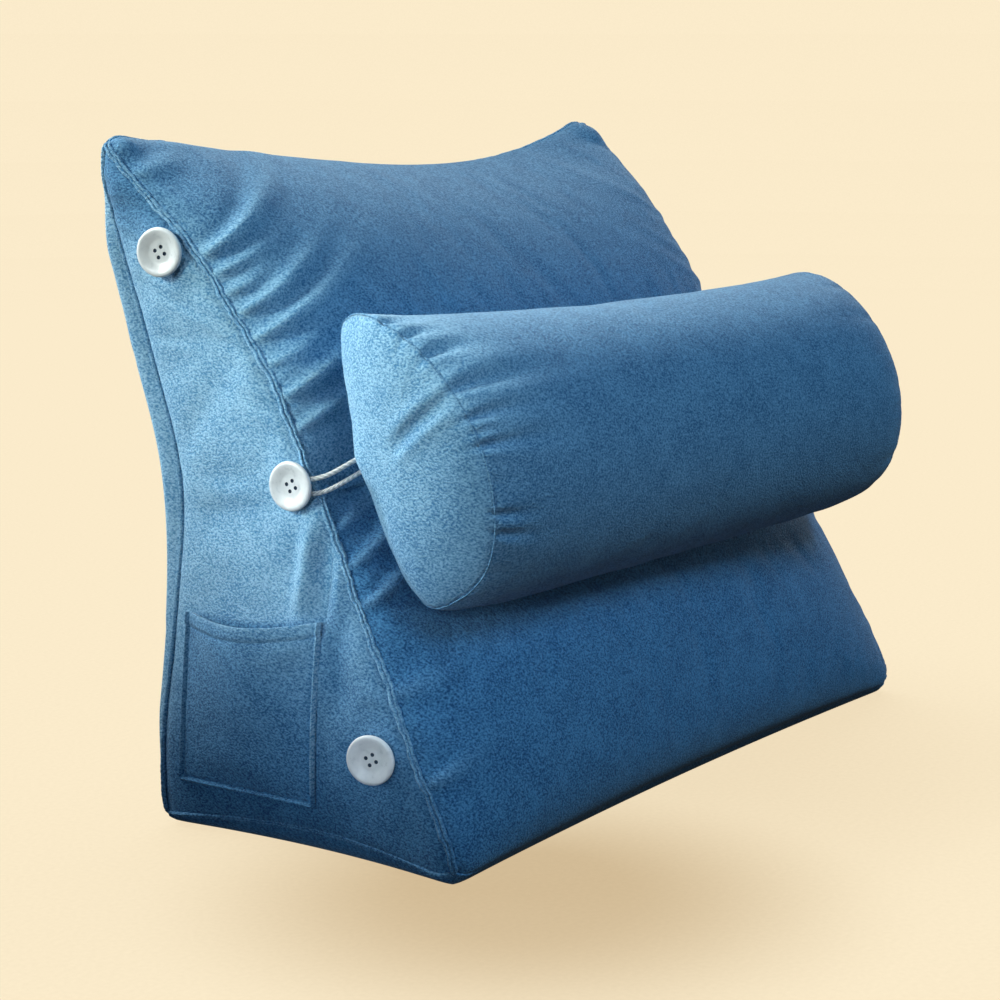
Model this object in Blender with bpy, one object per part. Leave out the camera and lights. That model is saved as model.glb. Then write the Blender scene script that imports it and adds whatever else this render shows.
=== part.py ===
"""Triangular reading cushion with a buttoned neck bolster and a side pocket.

Metres, +Z up. The sloping front faces -Y, the long way lies along X, and the origin is on the
floor under the middle of the whole.
"""

import math

import bmesh
import bpy
import numpy as np
from mathutils import Matrix, Vector
from mathutils.bvhtree import BVHTree

LEFT, RIGHT = -1, 1
PIECE_GAP = 0.0004  # clearance between neighbouring pieces

# Wedge
SIDE_SECTIONS = (
    # height, front seam y, back seam y, half span, swell of the side
    (0.007, -0.136, 0.120, 0.315, 0.012),
    (0.030, -0.126, 0.123, 0.312, 0.014),
    (0.055, -0.111, 0.125, 0.309, 0.014),
    (0.140, -0.061, 0.122, 0.298, 0.014),
    (0.240, -0.005, 0.122, 0.288, 0.009),
    (0.340, 0.052, 0.151, 0.287, 0.009),
    (0.430, 0.124, 0.172, 0.297, 0.008),
    (0.458, 0.154, 0.175, 0.301, 0.006),
    (0.477, 0.174, 0.174, 0.298, 0.004),
)
SEAM_BOW = 0.85  # how full the bow of a long seam is
TOP_SEAM_SAG = 0.030
TOP_SEAM_SKEW = 1.4  # the sag is deepest to the right of the middle
TOP_SEAM_FORWARD = 0.010  # how far the middle of the top seam stands before its ears
BASE_SEAM_LIFT = 0.009  # how far the base seams rise between their corners
BASE_SEAM_DRAW = 0.009  # and how far they are drawn in
BASE_ROUNDING = 0.012  # width of the rounded edge round the flat of the base
FRONT_CROWN_LOW, FRONT_CROWN_HIGH = 0.062, 0.046
BACK_CROWN, BACK_EDGE = 0.036, 0.30
FRONT_PUFF_LOW = math.radians(8)  # direction that the front swells in, at its foot
FRONT_PUFF_HIGH = math.radians(44)  # and at its top
CROWN_FULLNESS, CROWN_EDGE = 3.0, 0.5  # flat over the middle of a panel, steep at its seams
SIDE_FULLNESS, SIDE_EDGE = 2.0, 0.8
PULL_HEIGHT, PULL_DEPTH = 0.249, 0.97  # where and how much the elastic loops pull the front in
PULL_TALL, PULL_WIDE = 0.050, 0.080
EDGE_CROWDING = 0.6  # how much closer the mesh lines stand beside the seams
ROWS, COLUMNS, SIDE_COLUMNS = 22, 30, 12

# Bolster, in its own frame: along its axis, outward from the slope, and up the slope
BOLSTER_CENTRE = Vector((-0.0115, -0.080, 0.266))
SLOPE_LEAN = math.radians(24)
BOLSTER_YAW = math.radians(5)
BOLSTER_DROOP = math.radians(1.9)  # the right end hangs a little lower
BOLSTER_TAPER = -0.037  # and is that share fuller than the middle
BOLSTER_HALF_LENGTH = 0.258
BOLSTER_HALF_HEIGHT = 0.101
BOLSTER_FRONT_DEPTH = 0.085
BOLSTER_REAR_DEPTH = 0.0350
BOLSTER_REAR_FLAT = 0.0330
REAR_SQUARENESS = 2.4
CAP_BULGE, CAP_FULLNESS = 0.021, 3.0
CAP_POLE_FORWARD = 0.012
SHOULDER_PINCH, FRONT_PINCH = 0.080, 0.15  # the section narrows to the end seams
SHOULDER_LENGTH = 0.028
GATHER_COUNT, GATHER_DEPTH, GATHER_LENGTH = 11, 0.030, 0.034
GATHER_UNEVENNESS = 0.8
BOLSTER_SIDES, CAP_RINGS, BODY_RINGS = 44, 6, 13

# Seat that the bolster presses into the front
SEAT_HALF_HEIGHT = 0.054
SEAT_FLARE = 0.090  # radius of the seat's edge
SEAT_SOFTNESS = 0.012

# Pocket on the left side
POCKET_FRONT_Y, POCKET_REAR_Y = -0.016, 0.100
POCKET_FOOT_Z, POCKET_TOP_Z = 0.034, 0.158
POCKET_TOP_TILT, POCKET_TOP_SAG = 0.004, 0.007
POCKET_CLOTH, POCKET_OPENING = 0.002, 0.014
POCKET_COLUMNS, POCKET_ROWS = 16, 12

# Buttons, each on a thread stem
STEM_HEIGHT = 0.0044
BUTTON_PROFILE = (
    # radius, height above the stem's foot
    (0.0028, 0.0000),
    (0.0028, STEM_HEIGHT),
    (0.0130, 0.0044),
    (0.0164, 0.0054),
    (0.0172, 0.0070),
    (0.0162, 0.0086),
    (0.0142, 0.0088),
    (0.0112, 0.0076),
    (0.0090, 0.0071),
)
BUTTON_SEGMENTS = 20
HOLE_RADIUS, HOLE_RING, HOLE_FLOOR = 0.0012, 0.0037, 0.0050
HOLE_SIDES, HOLE_TURN = 8, math.radians(75)
BUTTONS = {
    # place: y, height, turn of its face from the side toward the front
    "top": (0.122, 0.404, math.radians(14)),
    "mid": (0.014, 0.251, math.radians(4)),
    "bottom": (-0.066, 0.078, math.radians(15)),
}

# Elastic loops from the ends of the bolster round the middle buttons
CORD_RADIUS = 0.0016
LOOP_SPREAD = 0.0052  # half the distance between the two strands where they are sewn in
LOOP_SEAM_OUT, LOOP_SEAM_FORWARD = 0.0050, 0.0085  # where a loop bends over the front seam
LOOP_BEND = 0.014  # how far the bend reaches each way
LOOP_END_BACK, LOOP_END_UP, LOOP_END_INSIDE = 0.018, 0.020, 0.020
LOOP_ARC_STEPS, LOOP_BEND_STEPS = 8, 8

FINISHES = {
    # name: red, green, blue, roughness
    "plush": (0.055, 0.165, 0.345, 0.95),
    "button_plastic": (0.86, 0.87, 0.87, 0.35),
    "elastic_cord": (0.82, 0.82, 0.80, 0.75),
}


def clear_scene():
    for thing in list(bpy.data.objects):
        bpy.data.objects.remove(thing)


def material(finish):
    red, green, blue, roughness = FINISHES[finish]
    made = bpy.data.materials.new(finish)
    made.use_nodes = True
    shader = made.node_tree.nodes["Principled BSDF"]
    shader.inputs["Base Color"].default_value = (red, green, blue, 1)
    shader.inputs["Roughness"].default_value = roughness
    return made


def add_object(name, bm, finish):
    bmesh.ops.recalc_face_normals(bm, faces=bm.faces)
    mesh = bpy.data.meshes.new(name)
    bm.to_mesh(mesh)
    bm.free()
    mesh.shade_smooth()
    mesh.materials.append(material(finish))
    made = bpy.data.objects.new(name, mesh)
    bpy.context.scene.collection.objects.link(made)
    return made


def section_value(column, height):
    """A smooth curve through one column of the side sections."""
    x = np.array([row[0] for row in SIDE_SECTIONS])
    y = np.array([row[column] for row in SIDE_SECTIONS])
    slope = np.gradient(y, x)
    height = np.clip(height, x[0], x[-1])
    i = np.clip(np.searchsorted(x, height, side="right") - 1, 0, len(x) - 2)
    step = x[i + 1] - x[i]
    t = (height - x[i]) / step
    start = (1 + 2 * t) * (1 - t) ** 2 * y[i] + t * (1 - t) ** 2 * step * slope[i]
    end = t**2 * (3 - 2 * t) * y[i + 1] + t**2 * (t - 1) * step * slope[i + 1]
    return start + end


def seam_height(share):
    low, high = SIDE_SECTIONS[0][0], SIDE_SECTIONS[-1][0]
    return low + (high - low) * share


def seam_lines(count):
    """Shares along a seam for count + 1 mesh lines, closer together at both ends."""
    even = np.linspace(0, 1, count + 1)
    crowded = (1 - np.cos(math.pi * even)) / 2
    return even + (crowded - even) * EDGE_CROWDING


def rise(share, fullness=CROWN_FULLNESS, edge=CROWN_EDGE):
    """0 on both seams of a panel and 1 over its middle."""
    return (1 - np.abs(2 * np.clip(share, 0, 1) - 1) ** fullness) ** edge


def arch(share):
    return np.sin(math.pi * np.clip(share, 0, 1))


def points(x, y, z):
    return np.stack(np.broadcast_arrays(x, y, z), axis=-1)


def upright_seam(column, side, share):
    """The seam of a side with the front or the back, from the base to the ear."""
    height = seam_height(share)
    return points(
        side * section_value(3, height), section_value(column, height), height
    )


def front_seam(side, share):
    return upright_seam(1, side, share)


def back_seam(side, share):
    return upright_seam(2, side, share)


def base_side_seam(side, share):
    """The seam of a side with the base, from front to back."""
    height, front, back, half_span, _ = SIDE_SECTIONS[0]
    return points(
        side * (half_span - BASE_SEAM_DRAW * arch(share)),
        front + (back - front) * share,
        height + BASE_SEAM_LIFT * arch(share),
    )


def long_seam(end, share, up, forward):
    """A seam along X between two like corners, its middle moved up and forward."""
    bow = arch(share) ** SEAM_BOW
    return points(end[0] * (1 - 2 * share), end[1] - forward * bow, end[2] + up * bow)


def top_seam(share):
    ear = front_seam(LEFT, np.array(1.0))
    level = long_seam(ear, share, 0, TOP_SEAM_FORWARD)
    return level - points(0, 0, TOP_SEAM_SAG * arch(share**TOP_SEAM_SKEW) ** SEAM_BOW)


def front_base_seam(share):
    return long_seam(front_seam(LEFT, np.array(0.0)), share, BASE_SEAM_LIFT / 2, -BASE_SEAM_DRAW)


def back_base_seam(share):
    return long_seam(back_seam(LEFT, np.array(0.0)), share, BASE_SEAM_LIFT / 2, BASE_SEAM_DRAW)


def coons(u, v, south, north, west, east):
    """A surface between four seams; u runs from west to east and v from south to north."""
    u3, v3 = u[..., None], v[..., None]
    zero, one = np.array(0.0), np.array(1.0)
    ruled = (1 - v3) * south(u) + v3 * north(u) + (1 - u3) * west(v) + u3 * east(v)
    low = (1 - u3) * south(zero) + u3 * south(one)
    high = (1 - u3) * north(zero) + u3 * north(one)
    return ruled - (1 - v3) * low - v3 * high


def side_panel(side, u, v):
    """A triangular side, u from front to back and v from the base to the ear."""
    ear = front_seam(side, np.array(1.0))
    flat = coons(
        u,
        v,
        lambda s: base_side_seam(side, s),
        lambda s: np.broadcast_to(ear, s.shape + (3,)),
        lambda s: front_seam(side, s),
        lambda s: back_seam(side, s),
    )
    swell = section_value(4, seam_height(v)) * rise(u, SIDE_FULLNESS, SIDE_EDGE) * rise(v)
    return flat + swell[..., None] * np.array([side, 0, 0])


def smooth_minimum(a, b, softness):
    blend = np.clip(0.5 + 0.5 * (b - a) / softness, 0, 1)
    return b + (a - b) * blend - softness * blend * (1 - blend)


def bolster_axes():
    """Unit vectors along the bolster, outward from the slope, and up the slope."""
    up = Vector((0, math.sin(SLOPE_LEAN), math.cos(SLOPE_LEAN)))
    along = Matrix.Rotation(-BOLSTER_YAW, 3, up) @ Vector((1, 0, 0))
    outward = along.cross(up)
    droop = Matrix.Rotation(-BOLSTER_DROOP, 3, outward)
    return droop @ along, outward, droop @ up


def seat_level(along, up):
    """How far outward the front may stand under the bolster, in the bolster's frame."""
    past = np.maximum(0, np.abs(up) - SEAT_HALF_HEIGHT) ** 2
    past = past + np.maximum(0, np.abs(along) - BOLSTER_HALF_LENGTH) ** 2
    return past / (2 * SEAT_FLARE) - BOLSTER_REAR_FLAT - PIECE_GAP


def front_panel(u, v):
    """The sloping front, pulled in by the loops and pressed flat under the bolster."""
    flat = coons(
        u,
        v,
        front_base_seam,
        top_seam,
        lambda s: front_seam(LEFT, s),
        lambda s: front_seam(RIGHT, s),
    )
    lean = FRONT_PUFF_LOW + (FRONT_PUFF_HIGH - FRONT_PUFF_LOW) * v
    outward = points(0, -np.cos(lean), np.sin(lean))
    half_span = SIDE_SECTIONS[0][3]
    from_side = np.minimum(u, 1 - u) * 2 * half_span
    away = ((flat[..., 2] - PULL_HEIGHT) / PULL_TALL) ** 2 + (from_side / PULL_WIDE) ** 2
    crown = FRONT_CROWN_LOW + (FRONT_CROWN_HIGH - FRONT_CROWN_LOW) * v
    swell = crown * rise(u) * rise(v) * (1 - PULL_DEPTH * np.exp(-away))
    along, out, up = (np.array(axis) for axis in bolster_axes())
    offset = flat - np.array(BOLSTER_CENTRE)
    room = (seat_level(offset @ along, offset @ up) - offset @ out) / (outward @ out)
    pressed = np.maximum(smooth_minimum(swell, room, SEAT_SOFTNESS), 0)
    return flat + np.where(swell > SEAT_SOFTNESS, pressed, swell)[..., None] * outward


def back_panel(u, v):
    flat = coons(
        u,
        v,
        back_base_seam,
        top_seam,
        lambda s: back_seam(LEFT, s),
        lambda s: back_seam(RIGHT, s),
    )
    swell = BACK_CROWN * rise(u, edge=BACK_EDGE) * rise(v, edge=1)
    return flat + swell[..., None] * np.array([0, 1, 0])


def base_panel(u, v):
    """The base, rounded down from its seams to one flat that stands on the floor."""
    surface = coons(
        u,
        v,
        front_base_seam,
        back_base_seam,
        lambda s: base_side_seam(LEFT, s),
        lambda s: base_side_seam(RIGHT, s),
    )
    _, front, back, half_span, _ = SIDE_SECTIONS[0]
    from_side = np.minimum(u, 1 - u) * 2 * half_span
    from_end = np.minimum(v, 1 - v) * (back - front)
    inward = np.clip(np.minimum(from_side, from_end) / BASE_ROUNDING, 0, 1)
    surface[..., 2] *= 1 - np.sqrt(1 - (1 - inward) ** 2)
    return surface


def add_grid(bm, grid, closed=False):
    """Add rows of points joined by quads, and return the first and the last row."""
    rows = [[bm.verts.new(point) for point in row] for row in grid]
    for low, high in zip(rows, rows[1:]):
        quads = list(zip(low, low[1:], high[1:], high))
        if closed:
            quads.append((low[-1], low[0], high[0], high[-1]))
        for corners in quads:
            bm.faces.new(corners)
    return rows[0], rows[-1]


def weld(bm):
    bmesh.ops.remove_doubles(bm, verts=bm.verts, dist=0.00001)
    bmesh.ops.dissolve_degenerate(bm, edges=bm.edges, dist=0.00001)


def build_wedge():
    bm = bmesh.new()
    rows, columns, depth = seam_lines(ROWS), seam_lines(COLUMNS), seam_lines(SIDE_COLUMNS)
    add_grid(bm, front_panel(*np.meshgrid(columns, rows)))
    add_grid(bm, back_panel(*np.meshgrid(columns, rows)))
    add_grid(bm, base_panel(*np.meshgrid(columns, depth)))
    for side in (LEFT, RIGHT):
        add_grid(bm, side_panel(side, *np.meshgrid(depth, rows)))
    weld(bm)
    return add_object("wedge_cushion", bm, "plush")


def bolster_section(angle):
    """One round of the bolster: outward and upward distance for each angle."""
    c, s = np.cos(angle), np.sin(angle)
    power = 2 / REAR_SQUARENESS
    rear = -BOLSTER_REAR_DEPTH * np.abs(c) ** power
    squared = np.sign(s) * np.abs(s) ** power
    out = np.where(c > 0, BOLSTER_FRONT_DEPTH * c, rear)
    return out, BOLSTER_HALF_HEIGHT * np.where(c > 0, s, squared)


def gathers(angle, end):
    """Uneven tucks round an end seam, 0 to 1."""
    uneven = GATHER_UNEVENNESS * np.sin(3 * angle + end)
    wave = np.cos(GATHER_COUNT * angle + uneven + end)
    return (0.5 + 0.5 * wave) ** 2


def bolster_rings():
    """Each ring's place along the axis, height and depth shares, gathering and set-forward."""
    cap = []
    for share in np.linspace(0, 1, CAP_RINGS + 1)[1:]:
        along = -BOLSTER_HALF_LENGTH - CAP_BULGE * (1 - share**CAP_FULLNESS)
        tall, deep = share * (1 - SHOULDER_PINCH), share * (1 - FRONT_PINCH)
        cap.append((along, tall, deep, share**3, CAP_POLE_FORWARD * (1 - share)))
    body = []
    for share in seam_lines(BODY_RINGS + 1)[1:-1]:
        along = BOLSTER_HALF_LENGTH * (2 * share - 1)
        from_seam = BOLSTER_HALF_LENGTH - abs(along)
        narrowing = math.exp(-from_seam / SHOULDER_LENGTH)
        tall, deep = 1 - SHOULDER_PINCH * narrowing, 1 - FRONT_PINCH * narrowing
        body.append((along, tall, deep, math.exp(-from_seam / GATHER_LENGTH), 0))
    far_cap = [(-along, *rest) for along, *rest in reversed(cap)]
    return cap + body + far_cap


def bolster_grid():
    """The bolster's rounds, from the left end to the right."""
    along, outward, upward = bolster_axes()
    angle = np.linspace(0, 2 * math.pi, BOLSTER_SIDES, endpoint=False)
    section_out, section_up = bolster_section(angle)
    grid = []
    for place, tall, deep, gathered, forward in bolster_rings():
        fuller = 1 + BOLSTER_TAPER * place / BOLSTER_HALF_LENGTH
        tucked = GATHER_DEPTH * gathered * gathers(angle, math.copysign(1, place))
        out = section_out * (deep - tucked) * fuller + forward
        up = section_up * (tall - tucked) * fuller
        middle = np.array(BOLSTER_CENTRE) + place * np.array(along)
        grid.append(
            middle
            + np.outer(np.maximum(out, -BOLSTER_REAR_FLAT), outward)
            + np.outer(up, upward)
        )
    return grid


def build_bolster():
    bm = bmesh.new()
    along, outward, _ = bolster_axes()
    rims = add_grid(bm, bolster_grid(), closed=True)
    for side, rim in zip((LEFT, RIGHT), rims):
        reach = side * (BOLSTER_HALF_LENGTH + CAP_BULGE)
        pole = bm.verts.new(BOLSTER_CENTRE + reach * along + CAP_POLE_FORWARD * outward)
        for a, b in zip(rim, rim[1:] + rim[:1]):
            bm.faces.new((a, b, pole))
    return add_object("bolster", bm, "plush")


def side_panel_at(side, y, z):
    """The point of a side at a given depth and height."""
    y, z = np.asarray(y, float), np.asarray(z, float)
    tall = seam_height(1) - seam_height(0)
    u, v = np.full(y.shape, 0.5), (z - seam_height(0)) / tall
    for _ in range(12):
        found = side_panel(side, u, v)
        width = back_seam(side, v)[..., 1] - front_seam(side, v)[..., 1]
        u = u + (y - found[..., 1]) / width
        v = v + (z - found[..., 2]) / tall
    return side_panel(side, u, v)


def side_normal(side, y, z, step=0.004):
    """The outward direction of a side at a given depth and height."""
    along_y = side_panel_at(side, y + step, z) - side_panel_at(side, y - step, z)
    along_z = side_panel_at(side, y, z + step) - side_panel_at(side, y, z - step)
    normal = np.cross(along_y, along_z) * side
    return normal / np.linalg.norm(normal, axis=-1, keepdims=True)


def build_pocket():
    """One patch of cloth, sewn down on three edges and standing open at the top."""
    u, v = np.meshgrid(seam_lines(POCKET_COLUMNS), np.linspace(0, 1, POCKET_ROWS + 1))
    y = POCKET_FRONT_Y + (POCKET_REAR_Y - POCKET_FRONT_Y) * u
    top = POCKET_TOP_Z + POCKET_TOP_TILT * (1 - 2 * u) - POCKET_TOP_SAG * arch(u)
    z = POCKET_FOOT_Z + (top - POCKET_FOOT_Z) * v
    outward = side_normal(LEFT, y, z)
    stand = PIECE_GAP + POCKET_OPENING * rise(u) * arch(v / 2)
    inner = side_panel_at(LEFT, y, z) + stand[..., None] * outward
    outer = inner + POCKET_CLOTH * outward
    bm = bmesh.new()
    add_grid(bm, inner)
    add_grid(bm, outer)
    for edge in (np.s_[0, :], np.s_[-1, :], np.s_[:, 0], np.s_[:, -1]):
        add_grid(bm, [inner[edge], outer[edge]])
    weld(bm)
    return add_object("side_pocket", bm, "plush")


def button_frame(side, place):
    """Where a button stands: its z points out of the side, turned toward the front."""
    y, z, facing = BUTTONS[place]
    outward = Vector((side * math.cos(facing), -math.sin(facing), 0))
    up = Vector((0, 0, 1))
    turn = Matrix((up.cross(outward), up, outward)).transposed()
    foot = Vector(side_panel_at(side, y, z)) + 2 * PIECE_GAP * outward
    return Matrix.Translation(foot) @ turn.to_4x4()


def build_button(name, frame):
    """A dished four-hole button on its thread stem."""
    bm = bmesh.new()
    foot, dish = BUTTON_PROFILE[0][1], BUTTON_PROFILE[-1][1]
    profile = [(0, foot), *BUTTON_PROFILE, (0, dish)]
    verts = [bm.verts.new((radius, 0, height)) for radius, height in profile]
    edges = [bm.edges.new(pair) for pair in zip(verts, verts[1:])]
    bmesh.ops.spin(
        bm,
        geom=verts + edges,
        cent=(0, 0, 0),
        axis=(0, 0, 1),
        angle=2 * math.pi,
        steps=BUTTON_SEGMENTS,
    )
    weld(bm)
    made = add_object(name, bm, "button_plastic")
    made.matrix_world = frame
    holes = made.modifiers.new("holes", "BOOLEAN")
    holes.object = build_hole_pins(name + "_pins", frame)
    return made


def build_hole_pins(name, frame):
    """Four round pins that cut a button's thread holes."""
    bm = bmesh.new()
    top = BUTTON_PROFILE[-1][1] + HOLE_RADIUS
    for quarter in range(4):
        turn = math.pi / 2 * quarter + HOLE_TURN
        middle = (HOLE_RING * math.cos(turn), HOLE_RING * math.sin(turn), (HOLE_FLOOR + top) / 2)
        bmesh.ops.create_cone(
            bm,
            cap_ends=True,
            segments=HOLE_SIDES,
            radius1=HOLE_RADIUS,
            radius2=HOLE_RADIUS,
            depth=top - HOLE_FLOOR,
            matrix=Matrix.Translation(middle),
        )
    pins = add_object(name, bm, "button_plastic")
    pins.matrix_world = frame
    pins.hide_render = True
    pins.display_type = "WIRE"
    return pins


def strand(start, over, end, surface):
    """A strand from the button, bent over the seam and cut a gap short of the bolster."""
    direction = (end - over).normalized()
    hit, normal, _, _ = surface.ray_cast(over, direction)
    slant = abs(direction.dot(normal))
    stop = hit - (PIECE_GAP + CORD_RADIUS * math.sqrt(1 - slant**2) / slant) * direction
    enter = over.lerp(start, min(1, LOOP_BEND / (start - over).length))
    leave = over + LOOP_BEND * direction
    route = []
    for i in range(1, LOOP_BEND_STEPS + 1):
        share = i / LOOP_BEND_STEPS
        route.append(enter.lerp(over, share).lerp(over.lerp(leave, share), share))
    return route + [stop]


def loop_route(side, surface):
    """Centre line of an elastic loop: from the bolster round the button's stem and back."""
    frame = button_frame(side, "mid")
    _, height, _ = BUTTONS["mid"]
    middle = frame @ Vector((0, 0, (STEM_HEIGHT + PIECE_GAP) / 2))
    seam = Vector(front_seam(side, (height - seam_height(0)) / (seam_height(1) - seam_height(0))))
    over = seam + Vector((side * LOOP_SEAM_OUT, -LOOP_SEAM_FORWARD, 0))
    along, outward, upward = bolster_axes()
    end = BOLSTER_CENTRE + side * (BOLSTER_HALF_LENGTH - LOOP_END_INSIDE) * along
    end = end - LOOP_END_BACK * outward + LOOP_END_UP * upward
    forward, up = Vector((0, -1, 0)), Vector((0, 0, 1))
    ring = BUTTON_PROFILE[0][0] + CORD_RADIUS + PIECE_GAP
    arc = []
    for i in range(LOOP_ARC_STEPS + 1):
        turn = math.pi * i / LOOP_ARC_STEPS
        arc.append(middle - ring * (forward * math.sin(turn) - up * math.cos(turn)))
    upper = strand(arc[0], over + up * LOOP_SPREAD, end + up * LOOP_SPREAD, surface)
    lower = strand(arc[-1], over - up * LOOP_SPREAD, end - up * LOOP_SPREAD, surface)
    return upper[::-1] + arc + lower


def build_loop(name, side, bolster):
    surface = BVHTree.FromPolygons(
        [vertex.co for vertex in bolster.data.vertices],
        [face.vertices for face in bolster.data.polygons],
    )
    route = loop_route(side, surface)
    curve = bpy.data.curves.new(name, "CURVE")
    curve.dimensions = "3D"
    curve.bevel_depth = CORD_RADIUS
    curve.bevel_resolution = 2
    curve.use_fill_caps = True
    spline = curve.splines.new("POLY")
    spline.points.add(len(route) - 1)
    for point, place in zip(spline.points, route):
        point.co = (*place, 1)
    curve.materials.append(material("elastic_cord"))
    made = bpy.data.objects.new(name, curve)
    bpy.context.scene.collection.objects.link(made)
    return made


def main():
    clear_scene()
    build_wedge()
    bolster = build_bolster()
    build_pocket()
    for side, word in ((LEFT, "left"), (RIGHT, "right")):
        for place in BUTTONS:
            build_button(f"button_{word}_{place}", button_frame(side, place))
        build_loop(f"elastic_loop_{word}", side, bolster)


main()
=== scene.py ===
"""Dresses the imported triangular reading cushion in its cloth: covers, seams, folds, buttons and cords.

Metres, +Z up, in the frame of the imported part. The sloping front faces -Y.
"""

import math

import bpy
import numpy as np
from mathutils import Matrix, Vector


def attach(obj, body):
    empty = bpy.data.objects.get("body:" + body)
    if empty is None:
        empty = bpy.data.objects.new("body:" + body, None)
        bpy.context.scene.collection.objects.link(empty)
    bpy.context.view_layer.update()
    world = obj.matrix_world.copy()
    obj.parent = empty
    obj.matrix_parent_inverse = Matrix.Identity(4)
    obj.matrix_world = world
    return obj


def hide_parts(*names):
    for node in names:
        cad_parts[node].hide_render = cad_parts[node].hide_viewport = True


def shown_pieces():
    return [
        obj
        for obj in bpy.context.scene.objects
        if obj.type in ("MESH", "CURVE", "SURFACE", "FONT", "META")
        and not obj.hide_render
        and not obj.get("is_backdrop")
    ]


bl_info = {
    "name": "Reading cushion",
    "version": (1, 0, 0),
    "blender": (4, 5, 0),
    "location": "View3D > Sidebar > Cushion",
    "description": "Dresses a triangular reading cushion in plush, with its buttons, cords and pocket",
    "category": "Object",
}

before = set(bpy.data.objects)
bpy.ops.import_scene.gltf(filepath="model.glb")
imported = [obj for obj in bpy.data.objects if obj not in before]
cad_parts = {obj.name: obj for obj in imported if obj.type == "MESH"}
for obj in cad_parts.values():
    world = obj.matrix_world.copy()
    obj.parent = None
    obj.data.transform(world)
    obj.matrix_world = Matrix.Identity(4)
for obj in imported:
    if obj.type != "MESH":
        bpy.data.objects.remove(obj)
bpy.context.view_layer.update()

LEFT, RIGHT = -1, 1
MM = 0.001

# Wedge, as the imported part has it
SIDE_SECTIONS = (
    # height, front seam y, back seam y, half span, swell of the side
    (0.007, -0.136, 0.120, 0.315, 0.012),
    (0.030, -0.126, 0.123, 0.312, 0.014),
    (0.055, -0.111, 0.125, 0.309, 0.014),
    (0.140, -0.061, 0.122, 0.298, 0.014),
    (0.240, -0.005, 0.122, 0.288, 0.009),
    (0.340, 0.052, 0.151, 0.287, 0.009),
    (0.430, 0.124, 0.172, 0.297, 0.008),
    (0.458, 0.154, 0.175, 0.301, 0.006),
    (0.477, 0.174, 0.174, 0.298, 0.004),
)
SEAM_BOW = 0.85
TOP_SEAM_SAG, TOP_SEAM_SKEW, TOP_SEAM_FORWARD = 0.030, 1.4, 0.010
BASE_SEAM_LIFT, BASE_SEAM_DRAW, BASE_ROUNDING = 0.009, 0.009, 0.012
FRONT_CROWN_LOW, FRONT_CROWN_HIGH = 0.062, 0.046
BACK_CROWN, BACK_EDGE = 0.036, 0.30
FRONT_PUFF_LOW, FRONT_PUFF_HIGH = math.radians(8), math.radians(44)
CROWN_FULLNESS, CROWN_EDGE = 3.0, 0.5
SIDE_FULLNESS, SIDE_EDGE = 2.0, 0.8
PULL_HEIGHT, PULL_DEPTH, PULL_TALL, PULL_WIDE = 0.249, 0.97, 0.050, 0.080
ROWS, COLUMNS, SIDE_COLUMNS = 260, 128, 46
ROW_CROWDING, EDGE_CROWDING = 0.3, 0.8
SEARCH_STEPS = 12  # to find the point of a side at a given place

# Cloth trial: a cover is stuffed as cloth with its seams held, and its folds are laid on the panels
TRIAL_GRID = (84, 66, 26)  # columns, rows and side columns of the wedge
TRIAL_BOLSTER = (96, 9, 66)  # sides, rings of a cap and rings of the body
TRIAL_FRAMES, TRIAL_STUFFING, TRIAL_FULLNESS = 20, 3.0, 0.035
TRIAL_SMOOTHING, TRIAL_LIMIT, TRIAL_EDGE, TRIAL_FOOT = 50, 0.0035, 0.020, (0.01, 0.04)
FOLD_SHARES = {"front": 0.32, "back": 0.45, "left": 0.35, "right": 0.45, "bolster": 0.16}

# Bolster, in its own frame: along its axis, outward from the slope, and up the slope
BOLSTER_CENTRE = np.array((-0.0115, -0.080, 0.266))
SLOPE_LEAN, BOLSTER_YAW, BOLSTER_DROOP = math.radians(24), math.radians(5), math.radians(1.9)
BOLSTER_TAPER = -0.037
BOLSTER_HALF_LENGTH, BOLSTER_HALF_HEIGHT = 0.258, 0.101
BOLSTER_FRONT_DEPTH, BOLSTER_REAR_DEPTH, BOLSTER_REAR_FLAT = 0.085, 0.0350, 0.0330
REAR_SQUARENESS = 2.4
CAP_BULGE, CAP_FULLNESS, CAP_POLE_FORWARD = 0.016, 3.0, 0.012
SHOULDER_PINCH, FRONT_PINCH, SHOULDER_LENGTH = 0.080, 0.15, 0.028
BOLSTER_SIDES, CAP_RINGS, BODY_RINGS = 330, 26, 170
CAP_CROWDING = 0.8  # draws a cap's rings toward its seam
SEAT_HALF_HEIGHT, SEAT_FLARE, SEAT_SOFTNESS = 0.054, 0.090, 0.012
SHELTER_PAST_END, SHELTER_HEIGHTS = 0.02, (0.085, 0.120)  # the front is held still under the bolster
REAR_HELD, END_FREE = 0.004, 0.06
PIECE_GAP = 0.0004

# Pocket on the left side
POCKET_FRONT_Y, POCKET_REAR_Y = -0.016, 0.1055
POCKET_FOOT_Z, POCKET_TOP_Z = 0.034, 0.158
POCKET_TOP_TILT, POCKET_TOP_SAG = 0.004, 0.007
POCKET_CLOTH, POCKET_OPENING = 0.002, 0.011
POCKET_COLUMNS, POCKET_ROWS = 110, 130
POCKET_HEM, POCKET_HEM_RISE = 0.0095, 0.0008
POCKET_LIFT, POCKET_EDGE, POCKET_ROLL, POCKET_STITCH = 0.0005, 0.0007, 0.0019, 0.0009
POCKET_CREASES = (
    ((0.096, 0.150), (0.045, 0.120), 0.010, 0.0012),
    ((-0.012, 0.152), (0.030, 0.125), 0.009, 0.0014),
    ((0.090, 0.060), (0.010, 0.052), 0.012, 0.0012),
)
POCKET_STAND = (1.4, 1.3)  # how the opening grows from the side edges and toward the mouth
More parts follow.
